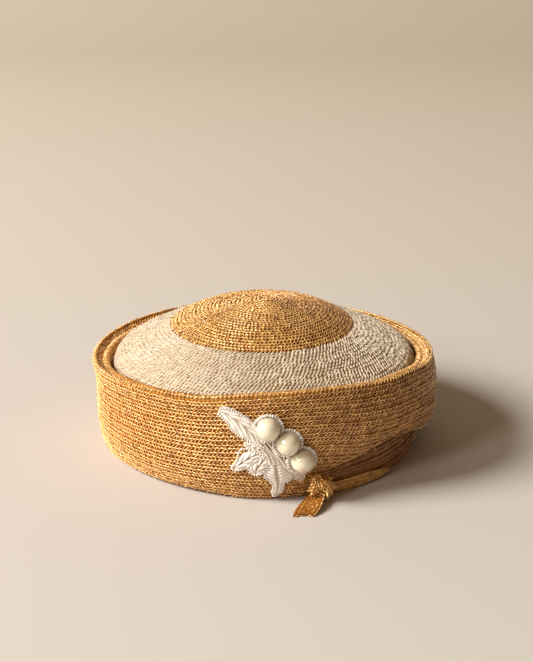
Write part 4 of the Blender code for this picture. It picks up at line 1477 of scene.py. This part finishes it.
@dataclass
class LaceSpray:
    """The embroidered spray on the front: leaves, cords, pearl seats and pearls."""

    cuff: CuffShape
    shop: Workshop
    span: float = 48.0
    foot: float = 3.6
    lift: float = 0.45
    lace: float = 1.5
    seat_gap: float = 0.3
    pearl_radius: float = 6.45
    pearl_sink: float = 0.10
    bead_pitch: float = 1.38
    thread_pitch: float = 1.45
    thread_depth: float = 0.30
    ring_radius: float = 7.75
    pearl_spots: tuple[tuple[float, float], ...] = (
        (0.066, 0.878), (0.279, 0.696), (0.442, 0.478),
    )
    leaves: tuple[Leaf, ...] = (
        Leaf(
            low=((-1.4, 35.4), (-4.6, 37.6), (-7.6, 39.0), (-10.4, 40.2), (-13.2, 42.0),
                 (-16.2, 45.0), (-18.4, 48.7), (-20.9, 51.4), (-23.0, 53.4)),
            rib=((0.0, 36.8), (-2.6, 39.8), (-5.2, 42.9), (-7.8, 45.8), (-10.4, 48.4),
                 (-13.2, 50.6), (-16.0, 52.4), (-19.0, 54.2), (-22.2, 55.4)),
            high=((1.6, 38.6), (-0.4, 41.4), (-2.2, 44.8), (-4.2, 48.4), (-6.8, 50.9),
                  (-10.2, 53.4), (-13.8, 55.6), (-17.6, 57.3), (-21.2, 57.6)),
            swell=1.5, level=1.0, run=0.22,
        ),
        Leaf(
            low=((2.2, 29.6), (-2.6, 27.4), (-5.2, 25.4), (-7.0, 24.2), (-8.4, 22.5),
                 (-11.2, 21.4), (-13.2, 20.9), (-15.6, 20.9)),
            rib=((1.2, 32.0), (-3.2, 30.4), (-6.0, 28.8), (-8.4, 27.2), (-10.4, 25.6),
                 (-12.4, 24.2), (-14.2, 23.0), (-16.0, 21.9)),
            high=((0.2, 32.0), (-4.0, 32.0), (-7.8, 33.6), (-11.0, 33.2), (-12.7, 30.8),
                  (-13.0, 27.6), (-14.7, 24.6), (-16.5, 22.8)),
            swell=1.2, level=0.75, run=0.3, inset=0.42,
        ),
        Leaf(
            low=((1.2, 30.4), (-2.2, 27.4), (-5.0, 25.2), (-7.2, 23.6), (-7.2, 21.2),
                 (-5.8, 19.4), (-4.2, 18.5)),
            rib=((2.6, 29.6), (0.4, 26.6), (-1.4, 24.2), (-2.6, 22.4), (-3.2, 20.8),
                 (-3.4, 19.4), (-3.3, 18.4)),
            high=((4.0, 28.6), (3.4, 25.2), (2.4, 22.6), (1.4, 20.9), (0.2, 19.5),
                  (-1.2, 18.7), (-2.4, 18.3)),
            swell=1.3, level=0.5, run=0.35,
        ),
        Leaf(
            low=((2.8, 32.6), (2.4, 27.6), (3.4, 23.6), (2.4, 20.6), (1.2, 18.6),
                 (2.2, 15.9), (4.2, 14.4), (5.8, 11.8), (6.2, 9.0), (5.4, 6.8), (6.7, 3.6)),
            rib=((5.0, 33.0), (5.8, 28.8), (6.8, 25.2), (7.5, 22.0), (8.0, 19.0),
                 (8.4, 16.2), (8.7, 13.6), (8.8, 11.0), (8.5, 8.6), (8.0, 6.0), (7.5, 3.3)),
            high=((7.2, 32.4), (9.6, 28.0), (11.8, 24.6), (13.6, 21.4), (15.6, 18.6),
                  (16.3, 15.8), (14.4, 13.5), (12.3, 13.0), (11.9, 9.8), (10.9, 6.8), (8.5, 4.2)),
            swell=1.4, level=0.3, run=0.75, slant=0.7,
        ),
        Leaf(
            low=((13.4, 20.4), (15.6, 17.2), (18.6, 15.2), (21.4, 13.2)),
            rib=((15.4, 20.8), (18.0, 18.6), (20.6, 16.4), (22.8, 13.9)),
            high=((17.6, 21.2), (20.4, 19.6), (23.4, 17.8), (24.4, 14.8)),
            swell=0.7, level=0.2, run=0.6, corded=(True, False),
        ),
        Leaf(
            low=((1.8, 30.0), (-1.6, 31.0), (-4.8, 32.6), (-7.4, 34.4), (-8.8, 35.8)),
            rib=((1.4, 32.4), (-1.8, 33.6), (-5.0, 35.0), (-7.2, 35.9), (-9.0, 36.4)),
            high=((0.8, 34.8), (-2.2, 36.2), (-5.2, 37.4), (-7.4, 37.8), (-9.0, 37.2)),
            swell=1.2, level=0.9, run=0.5, slant=1.2,
        ),
    )
    stems: tuple[tuple[tuple[float, float], ...], ...] = (
        ((-3.4, 40.0), (0.3, 37.4), (2.3, 34.9), (5.3, 30.7), (8.3, 26.4), (11.3, 22.2),
         (14.9, 18.4), (17.6, 15.8), (21.4, 13.4)),
        ((-1.8, 41.0), (1.9, 38.2), (3.9, 35.9), (6.9, 31.8), (9.9, 27.4), (12.9, 23.2),
         (16.2, 19.6), (19.2, 16.8), (22.6, 14.6)),
        ((5.9, 38.4), (8.8, 33.0), (11.4, 28.2), (13.6, 23.8), (17.0, 19.6), (21.4, 16.6)),
        ((-6.6, 36.6), (-2.6, 35.6), (1.2, 32.4), (3.4, 28.8), (4.4, 24.8)),
        ((-4.4, 39.4), (-1.2, 36.2), (2.2, 33.4), (5.0, 29.4), (7.2, 24.4)),
    )

    def on_hat(self, flat: np.ndarray, lift: np.ndarray | float) -> np.ndarray:
        """Lays flat places on the cuff, lifted off it; all lengths in millimetres."""
        lifted = np.broadcast_to(np.asarray(lift, float), (len(flat),)) * MM
        return self.cuff.front_place(flat[:, 0] * MM, flat[:, 1] * MM, lifted)

    def spot(self, number: int) -> np.ndarray:
        """Gives the flat place of a pearl's middle, in millimetres."""
        across, up = self.pearl_spots[number]
        return np.array((across * self.span, self.foot + up * self.span))

    def leaf_mesh(self, index: int, leaf: Leaf) -> bpy.types.Object:
        """Makes one leaf as a padded closed form with a sunken rib and laid threads.

        Args:
            index: Number of the leaf.
            leaf: Its drawn shape.

        Returns:
            The leaf as an object.
        """
        along, across = 100, 41
        flat, side = leaf.grid(along, across)
        share = np.linspace(0.0, 1.0, along)[:, None]
        step = np.linalg.norm(np.diff(flat[:, across // 2], axis=0), axis=1)
        run = np.concatenate(((0.0,), np.cumsum(step)))[:, None]
        reach = np.linalg.norm(flat - flat[:, across // 2][:, None], axis=2)
        crown = np.clip(1.0 - np.abs(side) ** 2.4, 0.0, 1.0)[None] ** 0.75
        groove = 0.8 * np.exp(-(side[None] / 0.13) ** 2)
        ends = np.clip(np.sin(math.pi * np.clip(share, 0.04, 0.985)), 0.0, 1.0) ** 0.4
        phase = (leaf.run * run + 0.55 * leaf.slant * reach) / self.thread_pitch
        strand = np.abs(np.sin(math.pi * phase))
        threads = self.thread_depth * (2.0 * strand - 1.0) * crown ** 0.5
        waves = 0.30 * np.sin(run * 0.9 + 1.7 * np.sign(side)[None] + index)
        rise = leaf.swell * (crown - groove * crown) * ends + threads * ends
        rise += waves * np.abs(side)[None] ** 1.5 * crown ** 0.3 * ends
        top = self.on_hat(flat.reshape(-1, 2), (self.lift + leaf.level + 0.3 + rise).ravel())
        picks = np.array((across - 1, across // 2, 0))
        under = self.on_hat(flat[:, picks].reshape(-1, 2), self.lift)
        places = np.concatenate(
            (top.reshape(along, across, 3), under.reshape(along, 3, 3)), axis=1
        )
        mesh = mesh_from_grid(
            f"spray_leaf_{index}", places, (60.0, 2.0), closed_round=False, capped=True
        )
        layer = mesh.attributes.new(Tint.SHADE.value, "FLOAT", "POINT")
        # Painted shade: the tint darkens the leaf between its laid threads and in the groove along
        # its rib.
        painted_shade = 0.75 * np.clip(1.0 - 2.2 * strand, 0.0, 1.0) + 0.9 * groove
        painted_shade = np.concatenate((painted_shade, np.zeros((along, 3))), axis=1)
        layer.data.foreach_set("value", painted_shade.astype(np.float32).ravel())
        return add_piece(f"spray_leaf_{index}", mesh, self.shop.lace)

    def seat_mesh(self, number: int) -> bpy.types.Object:
        """Makes the round lace seat under one pearl."""
        sides = 40
        turn = 2 * math.pi * np.arange(sides) / sides
        profile = np.array((
            (0.5, 0.0), (7.3, 0.0), (7.7, 0.3), (7.7, 0.8), (7.2, 1.15), (6.5, 1.25),
            (5.0, 1.3), (0.5, 1.3),
        ))
        ring = np.stack((np.cos(turn), np.sin(turn)), axis=1)
        flat = self.spot(number) + ring[:, None] * profile[None, :, :1]
        lift = np.broadcast_to(self.lift + profile[None, :, 1], flat.shape[:2]).ravel()
        places = self.on_hat(flat.reshape(-1, 2), lift).reshape(sides, len(profile), 3)
        name = f"pearl_seat_{number + 1}"
        mesh = mesh_from_grid(name, places, (40.0, 6.0), closed_section=False, capped=True)
        mesh.flip_normals()
        return add_piece(name, mesh, self.shop.lace)

    def stem_lines(self) -> list[np.ndarray]:
        """Gives the cords of the stem, laid on the cuff."""
        lines = []
        for index, path in enumerate(self.stems):
            curve = smooth_rows(np.array(path)[None], 7)[0]
            lines.append(self.on_hat(curve, self.lift + (1.35, 1.5, 1.2, 1.75, 1.6)[index]))
        return lines

    def beads(self, bead: bpy.types.Object) -> bpy.types.Object:
        """Sets the corded edge round every leaf and pearl.

        Args:
            bead: Source object of one loop of the cord.

        Returns:
            The corded edges as one piece.
        """
        rng = np.random.default_rng(57)
        edges = []
        for leaf in self.leaves:
            for line in leaf.outline(self.bead_pitch):
                edges.append((line, leaf.level + 0.8, 0.84))
        count = int(2 * math.pi * self.ring_radius / self.bead_pitch)
        turn = np.linspace(0.0, 2 * math.pi, count, endpoint=False)
        for number in range(len(self.pearl_spots)):
            ring = np.stack((np.cos(turn), np.sin(turn)), axis=1) * self.ring_radius
            edges.append((ring + self.spot(number), 1.75, 1.05))
        rows = Rows()
        for edge, lift, thick in edges:
            places = self.on_hat(edge, self.lift + lift)
            above = self.on_hat(edge, self.lift + lift + 1.0)
            out = above - places
            out /= np.linalg.norm(out, axis=1)[:, None]
            along = np.gradient(places, axis=0)
            along /= np.maximum(np.linalg.norm(along, axis=1), 1e-9)[:, None]
            grow = (1.0 + rng.normal(0.0, 0.09, len(places))) * MM
            rows.places.append(places + rng.normal(0.0, 0.05 * MM, places.shape))
            rows.along.append(along)
            rows.normal.append(out)
            rows.size.append(np.stack((0.66 * grow, thick * grow, 0.82 * grow), axis=1))
            rows.tint.append(np.clip(rng.normal(0.1, 0.2, len(places)), 0.0, 1.0))
        return rows.make("spray_edging", bead, self.shop.lace_bead, self.shop.stitches, 0.3)

    def pearl(self, number: int) -> bpy.types.Object:
        """Makes one half-round pearl on its seat."""
        flat = self.spot(number)[None]
        base = self.lift + self.seat_gap + self.lace
        radius = self.pearl_radius * MM
        under = self.on_hat(flat, base)[0]
        above = self.on_hat(flat, base + self.pearl_radius)[0]
        out = (above - under) / np.linalg.norm(above - under)
        centre = under + out * radius * self.pearl_sink * 2.0
        side = np.cross(out, np.array((0.0, 0.0, 1.0)))
        side /= np.linalg.norm(side)
        top = np.cross(side, out)
        levels = np.linspace(math.acos(-2.0 * self.pearl_sink), 0.02, 30)
        turn = 2 * math.pi * np.arange(64) / 64
        flat_side = np.cos(turn)[:, None] * side + np.sin(turn)[:, None] * top
        rings = (
            np.sin(levels)[None, :, None] * flat_side[:, None]
            + np.cos(levels)[None, :, None] * out
        )
        name = f"pearl_dome_{number + 1}"
        mesh = mesh_from_grid(
            name, centre + radius * rings, (1.0, 1.0), closed_section=False, capped=True
        )
        layer = mesh.attributes.new(Tint.SHADE.value, "FLOAT", "POINT")
        # Tint from 0 at the top to 1 at the rim, where the pearl's finish paints shade.
        drop = np.broadcast_to((levels / levels[0])[None], (64, 30))
        layer.data.foreach_set("value", drop.astype(np.float32).ravel())
        return add_piece(name, mesh, self.shop.pearl)

    def build(self) -> None:
        """Makes the spray and its pearls."""
        parts = [self.leaf_mesh(index, leaf) for index, leaf in enumerate(self.leaves)]
        parts += [self.seat_mesh(number) for number in range(len(self.pearl_spots))]
        for index, part in enumerate(parts):
            if index == 0:
                settle(part, "lace", "lace_spray")
            else:
                settle(part, "lace")
        bead = make_bead("lace_loop")
        settle(self.beads(bead), "lace")
        bpy.data.objects.remove(bead, do_unlink=True)
        lines = self.stem_lines()
        cords = strand_piece("spray_cords", lines, [False] * len(lines), 0.62 * MM, 8,
                             self.shop.lace_bead, self.shop.strands)
        settle(cords, "lace")
        for number in range(len(self.pearl_spots)):
            settle(self.pearl(number), "pearl", f"pearl_{number + 1}")


def make_bead(name: str) -> bpy.types.Object:
    """Makes one small rounded loop of thread as a hidden source object."""
    bm = bmesh.new()
    bmesh.ops.create_icosphere(bm, subdivisions=1, radius=1.0)
    mesh = bpy.data.meshes.new(name)
    bm.to_mesh(mesh)
    bm.free()
    mesh.shade_smooth()
    source = add_piece(name, mesh)
    source.hide_render = True
    return source


@dataclass
class StrawTie:
    """The straw strap: its knot, its free end and its run along the cuff's foot."""

    plan: Plan
    cuff: CuffShape
    shop: Workshop
    azimuth: float = 289.4
    width: float = 11.0 * MM
    strap: float = 1.6 * MM
    knot_depth: float = 10.0 * MM
    knot_width: float = 15.6 * MM
    tail_length: float = 26.0 * MM
    tail_heading: float = 251.0
    band_reach: float = 28.0
    band_height: float = 6.6 * MM
    gap: float = 0.3 * MM
    pitch: float = 1.8 * MM
    tail_rows: tuple[tuple[float, float, float, float], ...] = (
        (0.00, 0.66, 0.10, 0.00), (0.30, 1.00, 0.30, 0.00), (0.60, 1.14, 0.26, 0.02),
        (0.86, 1.10, 0.08, 0.12), (1.00, 0.92, 0.00, 0.34),
    )

    def knot_axes(self) -> tuple[np.ndarray, np.ndarray, np.ndarray, np.ndarray, np.ndarray]:
        """Gives the knot's middle, its three directions and its half sizes."""
        low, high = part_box("tie_knot")
        centre = 0.5 * (np.array(low) + np.array(high))
        origin = self.plan.place(np.array(0.0), np.array(0.0), np.array(0.0))
        out = self.plan.place(np.array(1.0), np.array(self.azimuth), np.array(0.0)) - origin
        out /= np.linalg.norm(out)
        along = np.array((-out[1], out[0], 0.0))
        half = np.array((
            0.5 * self.knot_width, 0.5 * self.knot_depth, 0.5 * (high[2] - low[2]),
        ))
        return centre, along, out, np.array((0.0, 0.0, 1.0)), half

    def wrap(self, pole: tuple[float, float, float], offset: float, spread: float,
             swell: float) -> Surface:
        """Makes one wrap of the strap round the knot as a sheet.

        Args:
            pole: Direction that the wrap turns about, in the knot's own axes.
            offset: How far the wrap lies from the middle, along its pole.
            spread: Half the wrap's width, as a share of the knot.
            swell: How far the wrap stands off the knot's core, as a share.

        Returns:
            The wrap, closed round the knot.
        """
        centre, along, out, up, half = self.knot_axes()
        axis = np.array(pole) / np.linalg.norm(pole)
        first = np.cross(axis, np.array((0.31, 0.22, 0.93)))
        first /= np.linalg.norm(first)
        second = np.cross(axis, first)
        turn = 2 * math.pi * np.arange(72) / 72
        side = np.linspace(-1.0, 1.0, 13)
        ring = np.cos(turn)[:, None] * first + np.sin(turn)[:, None] * second
        level = offset + spread * side
        flat = ring[:, None] * np.sqrt(1.0 - level ** 2)[None, :, None] + level[None, :, None] * axis
        high = 0.80 + swell * np.sqrt(np.clip(1.0 - side ** 2, 0.0, 1.0))
        shape = flat * high[None, :, None] * half
        places = centre + shape[..., 0:1] * along + shape[..., 1:2] * out + shape[..., 2:3] * up
        return Surface(places)

    def knot(self, loop: bpy.types.Object) -> None:
        """Makes the knot: a core, with wraps of crocheted strap round it.

        Args:
            loop: Source object of one stitch of the strap.
        """
        centre, along, out, up, half = self.knot_axes()
        tilt = np.linspace(math.pi - 0.05, 0.05, 28)
        turn = 2 * math.pi * np.arange(40) / 40
        unit = np.stack(np.broadcast_arrays(
            np.sin(tilt)[None] * np.cos(turn)[:, None],
            np.sin(tilt)[None] * np.sin(turn)[:, None],
            np.cos(tilt)[None],
        ), axis=2) * half * 0.82
        places = centre + unit[..., 0:1] * along - unit[..., 1:2] * out + unit[..., 2:3] * up
        mesh = mesh_from_grid("knot_core", places, (20.0, 9.0), closed_section=False, capped=True)
        mesh.flip_normals()
        settle(add_piece("knot_core", mesh, self.shop.tie_wall), "tie_straw", "tie_knot")
        rng = np.random.default_rng(71)
        rows = Rows()
        wraps = (
            ((0.0, 0.0, 1.0), 0.0, 0.88, 0.02), ((0.95, 0.25, -0.20), -0.56, 0.28, 0.20),
            ((0.55, 0.0, 0.84), 0.34, 0.28, 0.26), ((0.78, -0.20, 0.45), -0.02, 0.20, 0.32),
        )
        for pole, offset, spread, swell in wraps:
            surface = self.wrap(pole, offset, spread, swell)
            levels = int(round(6.5 * spread))
            for level in range(levels):
                share = (level + 0.5) / levels
                _, _, length, rise = surface.axes(np.array([0.1]), np.array([share]))
                count = max(8, int(round(float(length[0]) / (1.3 * self.pitch))))
                turn = (np.arange(count) + 0.5 * (level % 2)) / count
                level_share = np.full(count, share)
                _, _, round_rate, rise = surface.axes(turn, level_share)
                # Painted shade: wraps that stand off the core less are tinted darker, the raised
                # wraps paler.
                rows.add(surface, turn, level_share, round_rate / count, rise / levels, rng,
                         shade=0.45 + swell)
        piece = rows.make("knot_crochet", loop, self.shop.tie, self.shop.stitches, 0.3)
        settle(piece, "tie_straw")

    def strip(self, name: str, surface: Surface, back: Surface, levels: int,
              loop: bpy.types.Object, seed: int, node: str) -> bpy.types.Object:
        """Makes a flat run of strap: its wall and the stitches on its outer side.

        Args:
            name: Name of the wall; the stitches' name adds to it.
            surface: Outer side, open along its length.
            back: Side that lies against what carries the strap.
            levels: Rows of stitches across the strap.
            loop: Source object of one stitch.
            seed: Seed of the small differences between stitches.
            node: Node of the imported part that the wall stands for.

        Returns:
            The wall.
        """
        places = np.concatenate((surface.places, back.places[:, ::-1]), axis=1)
        mesh = mesh_from_grid(name, places, (24.0, 2.0 * levels), closed_round=False, capped=True)
        wall = add_piece(name, mesh, self.shop.tie_wall)
        settle(wall, "tie_straw", node)
        rng = np.random.default_rng(seed)
        rows = Rows()
        for level in range(levels):
            share = (level + 0.5) / levels
            _, _, length, _ = surface.axes(np.array([0.5]), np.array([share]))
            count = int(float(length[0]) / self.pitch)
            turn = (np.arange(count) + 0.25 + 0.5 * (level % 2)) / count
            level_share = np.full(count, share)
            _, _, round_rate, rise = surface.axes(turn, level_share)
            rows.add(surface, turn, level_share, round_rate / count, rise / levels, rng,
                     lift=0.25 * MM, shade=0.55)
        piece = rows.make(f"{name}_crochet", loop, self.shop.tie, self.shop.stitches, 0.2)
        settle(piece, "tie_straw")
        return wall

    def tail(self, loop: bpy.types.Object) -> None:
        """Makes the strap's free end, which lies on the table in front of the knot."""
        size_foot = self.cuff.radius_at(np.array([self.azimuth]), np.array([1.2 * MM]))[0]
        root = self.plan.place(
            np.array(size_foot + 0.35 * self.knot_depth), np.array(self.azimuth), np.array(0.0)
        )
        heading = math.radians(self.tail_heading)
        forward = np.array((math.cos(heading), math.sin(heading), 0.0))
        side = np.array((-forward[1], forward[0], 0.0))
        rows = smooth_rows(np.array(self.tail_rows)[None], 10)[0]
        across = np.linspace(-1.0, 1.0, 9)
        tops = []
        for share, width, raised, skew in rows:
            middle = root + forward * share * self.tail_length
            half = 0.5 * width * self.width
            bow = 0.9 * MM * (1.0 - across ** 2) * math.sin(math.pi * min(share + 0.1, 1.0))
            hump = 4.2 * MM * max(0.0, 1.0 - share / 0.42) ** 1.6
            fold = raised * self.width * np.clip(across, 0.0, 1.0) ** 2
            crinkle = 0.35 * MM * np.sin(38.0 * share + 1.6 * across) * (1.0 - share ** 4)
            lift = 1.1 * MM + bow + hump + fold + crinkle
            line = middle + side * (across * half)[:, None]
            line += forward * (skew * self.width * (across < 0.0) * -across)[:, None]
            line[:, 2] = lift
            tops.append(line)
        surface = Surface(np.array(tops)[:, ::-1], closed=False)
        under = surface.places.copy()
        under[:, :, 2] = np.maximum(under[:, :, 2] - 0.9 * MM, 0.02 * MM)
        wall = self.strip("tie_tail_wall", surface, Surface(under, closed=False), 6, loop, 83,
                          "tie_tail")

    def band(self, loop: bpy.types.Object) -> None:
        """Makes the strap's run along the foot of the cuff, ending in a point."""
        start = self.azimuth + math.degrees(0.5 * self.knot_width / self.cuff.base_radius) + 0.5
        share = np.linspace(0.0, 1.0, 46)
        azimuth = start - 3.0 + share * (self.band_reach + 3.0)
        size = self.cuff.sizes(azimuth)
        past = np.clip((share - 0.55) / 0.45, 0.0, 1.0)
        taper = 1.0 - 0.82 * past ** 1.3
        low = size["lift"] + (0.2 + 0.45 * (1.0 - taper)) * self.band_height * 0.5
        high = low + self.band_height * taper
        up = np.linspace(0.0, 1.0, 9)
        height = low[:, None] + (high - low)[:, None] * up[None]
        seat = np.stack([self.cuff.radius_at(azimuth, height[:, k]) for k in range(9)], axis=1)
        seat = np.minimum(seat, seat[:, :1] + 2.0 * MM) + self.gap
        bow = 0.5 * MM * (1.0 - (2 * up - 1.0) ** 2)
        outer = self.plan.place(seat + 1.2 * MM + bow, azimuth[:, None], height)
        back = self.plan.place(seat, azimuth[:, None], height)
        surface = Surface(outer, closed=False)
        self.strip("tie_band_wall", surface, Surface(back, closed=False), 3, loop, 97,
                   "tie_band")

    def build(self) -> None:
        """Makes the knot, the free end and the run along the foot."""
        loop = Stitch(StitchKind.HOOK, thickness=0.2, relief=0.42).build("loop_strap")
        self.knot(loop)
        self.tail(loop)
        self.band(loop)
        bpy.data.objects.remove(loop, do_unlink=True)


@dataclass
class Studio:
    """Pale seamless floor, soft light from the left and the photographer's camera."""

    plan: Plan
    distance: float = 0.950
    elevation: float = 20.0
    aim_height: float = 35.0 * MM
    pitch: float = 18.19
    yaw: float = -0.17
    lens: float = 86.1
    floor_color: tuple[float, float, float] = (0.568, 0.529, 0.498)

    def camera(self) -> None:
        """Makes the camera and puts it where the photographer stood."""
        data = bpy.data.cameras.new("photo_camera")
        data.lens = self.lens
        data.sensor_width = 36.0
        data.sensor_fit = "AUTO"
        data.clip_start = 0.01
        camera = bpy.data.objects.new("photo_camera", data)
        bpy.context.scene.collection.objects.link(camera)
        rise = math.radians(self.elevation)
        camera.location = (
            self.plan.axis_x,
            self.plan.axis_y - self.distance * math.cos(rise),
            self.aim_height + self.distance * math.sin(rise),
        )
        camera.rotation_euler = (math.radians(90.0 - self.pitch), 0.0, math.radians(self.yaw))
        bpy.context.scene.camera = camera

    def floor(self) -> None:
        """Makes the floor, which rises behind into the backdrop."""
        path = [(-3.0, 0.0), (1.6, 0.0)]
        for step in range(1, 13):
            angle = math.radians(90.0 * step / 12)
            path.append((1.6 + 1.2 * math.sin(angle), 1.2 * (1 - math.cos(angle))))
        path.append((2.8, 4.0))
        places = np.array([[(x, y, z) for y, z in path] for x in (-4.0, 4.0)])
        mesh = mesh_from_grid("studio_floor", places, (1.0, 1.0), closed_round=False,
                              closed_section=False)
        floor = add_piece("studio_floor", mesh, FloorFinish(color=self.floor_color).build())

    def lamp(self, name: str, azimuth: float, elevation: float, distance: float,
             width: float, power: float, color: tuple[float, float, float]) -> None:
        """Adds one round soft panel that faces the hat.

        Args:
            name: Name of the light.
            azimuth: Direction to the panel, in degrees from +X.
            elevation: Height of the panel over the horizon, in degrees.
            distance: How far the panel stands from the hat, in metres.
            width: Width of the panel, in metres.
            power: Power of the panel, in watts.
            color: Colour of its light.
        """
        data = bpy.data.lights.new(name, "AREA")
        data.shape = "DISK"
        data.size = width
        data.energy = power
        data.color = color
        panel = bpy.data.objects.new(name, data)
        bpy.context.scene.collection.objects.link(panel)
        turn = math.radians(azimuth)
        rise = math.radians(elevation)
        toward = Vector((
            math.cos(turn) * math.cos(rise), math.sin(turn) * math.cos(rise), math.sin(rise),
        ))
        panel.location = toward * distance
        panel.rotation_euler = toward.to_track_quat("Z", "Y").to_euler()

    def build(self) -> None:
        """Makes the camera, the floor and the lights."""
        self.camera()
        self.floor()
        self.lamp("key_panel", 196.0, 37.0, 3.6, 1.6, 208.0, (1.0, 0.96, 0.90))
        self.lamp("front_panel", 230.0, 26.0, 3.2, 0.7, 24.0, (1.0, 0.95, 0.88))
        world = bpy.data.worlds.new("soft_room")
        world.use_nodes = True
        backdrop = world.node_tree.nodes["Background"]
        backdrop.inputs["Color"].default_value = (1.0, 0.67, 0.38, 1.0)
        backdrop.inputs["Strength"].default_value = 0.20
        bpy.context.scene.world = world
        bpy.context.scene.view_settings.view_transform = "Standard"
        LOG.info("studio: camera, floor, key panel and room light")


def make_workshop() -> Workshop:
    """Makes the node trees and finishes that the pieces share."""
    return Workshop(
        stitches=StitchTree().build(),
        strands=StrandTree().build(),
        gold=StrawFinish("straw_gold", (0.34, 0.10, 0.007), (1.0, 0.60, 0.19)).build(),
        gold_deep=StrawFinish(
            "straw_gold_deep", (0.60, 0.20, 0.015), (1.0, 0.52, 0.10), metal=0.3
        ).build(),
        gold_wall=StrawFinish(
            "straw_gold_wall", (0.055, 0.014, 0.001), (0.90, 0.40, 0.06), 0.7, 0.2, 0.0, 0.0, knit=0.8
        ).build(),
        cream=StrawFinish(
            "straw_cream", (0.53, 0.41, 0.285), (0.73, 0.63, 0.495), 0.4, 0.3, 0.25, 0.0
        ).build(),
        cream_wall=StrawFinish(
            "straw_cream_wall", (0.66, 0.47, 0.29), (0.86, 0.68, 0.46), 0.7, 0.3, 0.0, 0.0, knit=0.8
        ).build(),
        tie=StrawFinish("straw_tie", (0.54, 0.19, 0.02), (1.0, 0.62, 0.19), 0.3).build(),
        tie_wall=StrawFinish(
            "straw_tie_wall", (0.24, 0.08, 0.008), (0.52, 0.21, 0.03), 0.4, 0.5, 0.4, 0.1, knit=0.8
        ).build(),
        lace=ThreadFinish().build(),
        lace_bead=ThreadFinish("lace_cord").build(),
        pearl=PearlFinish().build(),
    )


def main() -> None:
    """Builds the hat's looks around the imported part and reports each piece."""
    logging.basicConfig(level=logging.INFO, format="%(message)s")
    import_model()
    low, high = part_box("crown_tip")
    plan = Plan(0.5 * (low.x + high.x), 0.5 * (low.y + high.y))
    Studio(plan).build()
    shop = make_workshop()
    cuff = CuffShape(plan)
    crown = CrownShape(plan, cuff)
    facing = FacingShape(plan, cuff, crown)
    StrawBody(plan, shop, cuff, crown, facing).build()
    LaceSpray(cuff, shop).build()
    StrawTie(plan, cuff, shop).build()


if __name__ == "__main__":
    main()
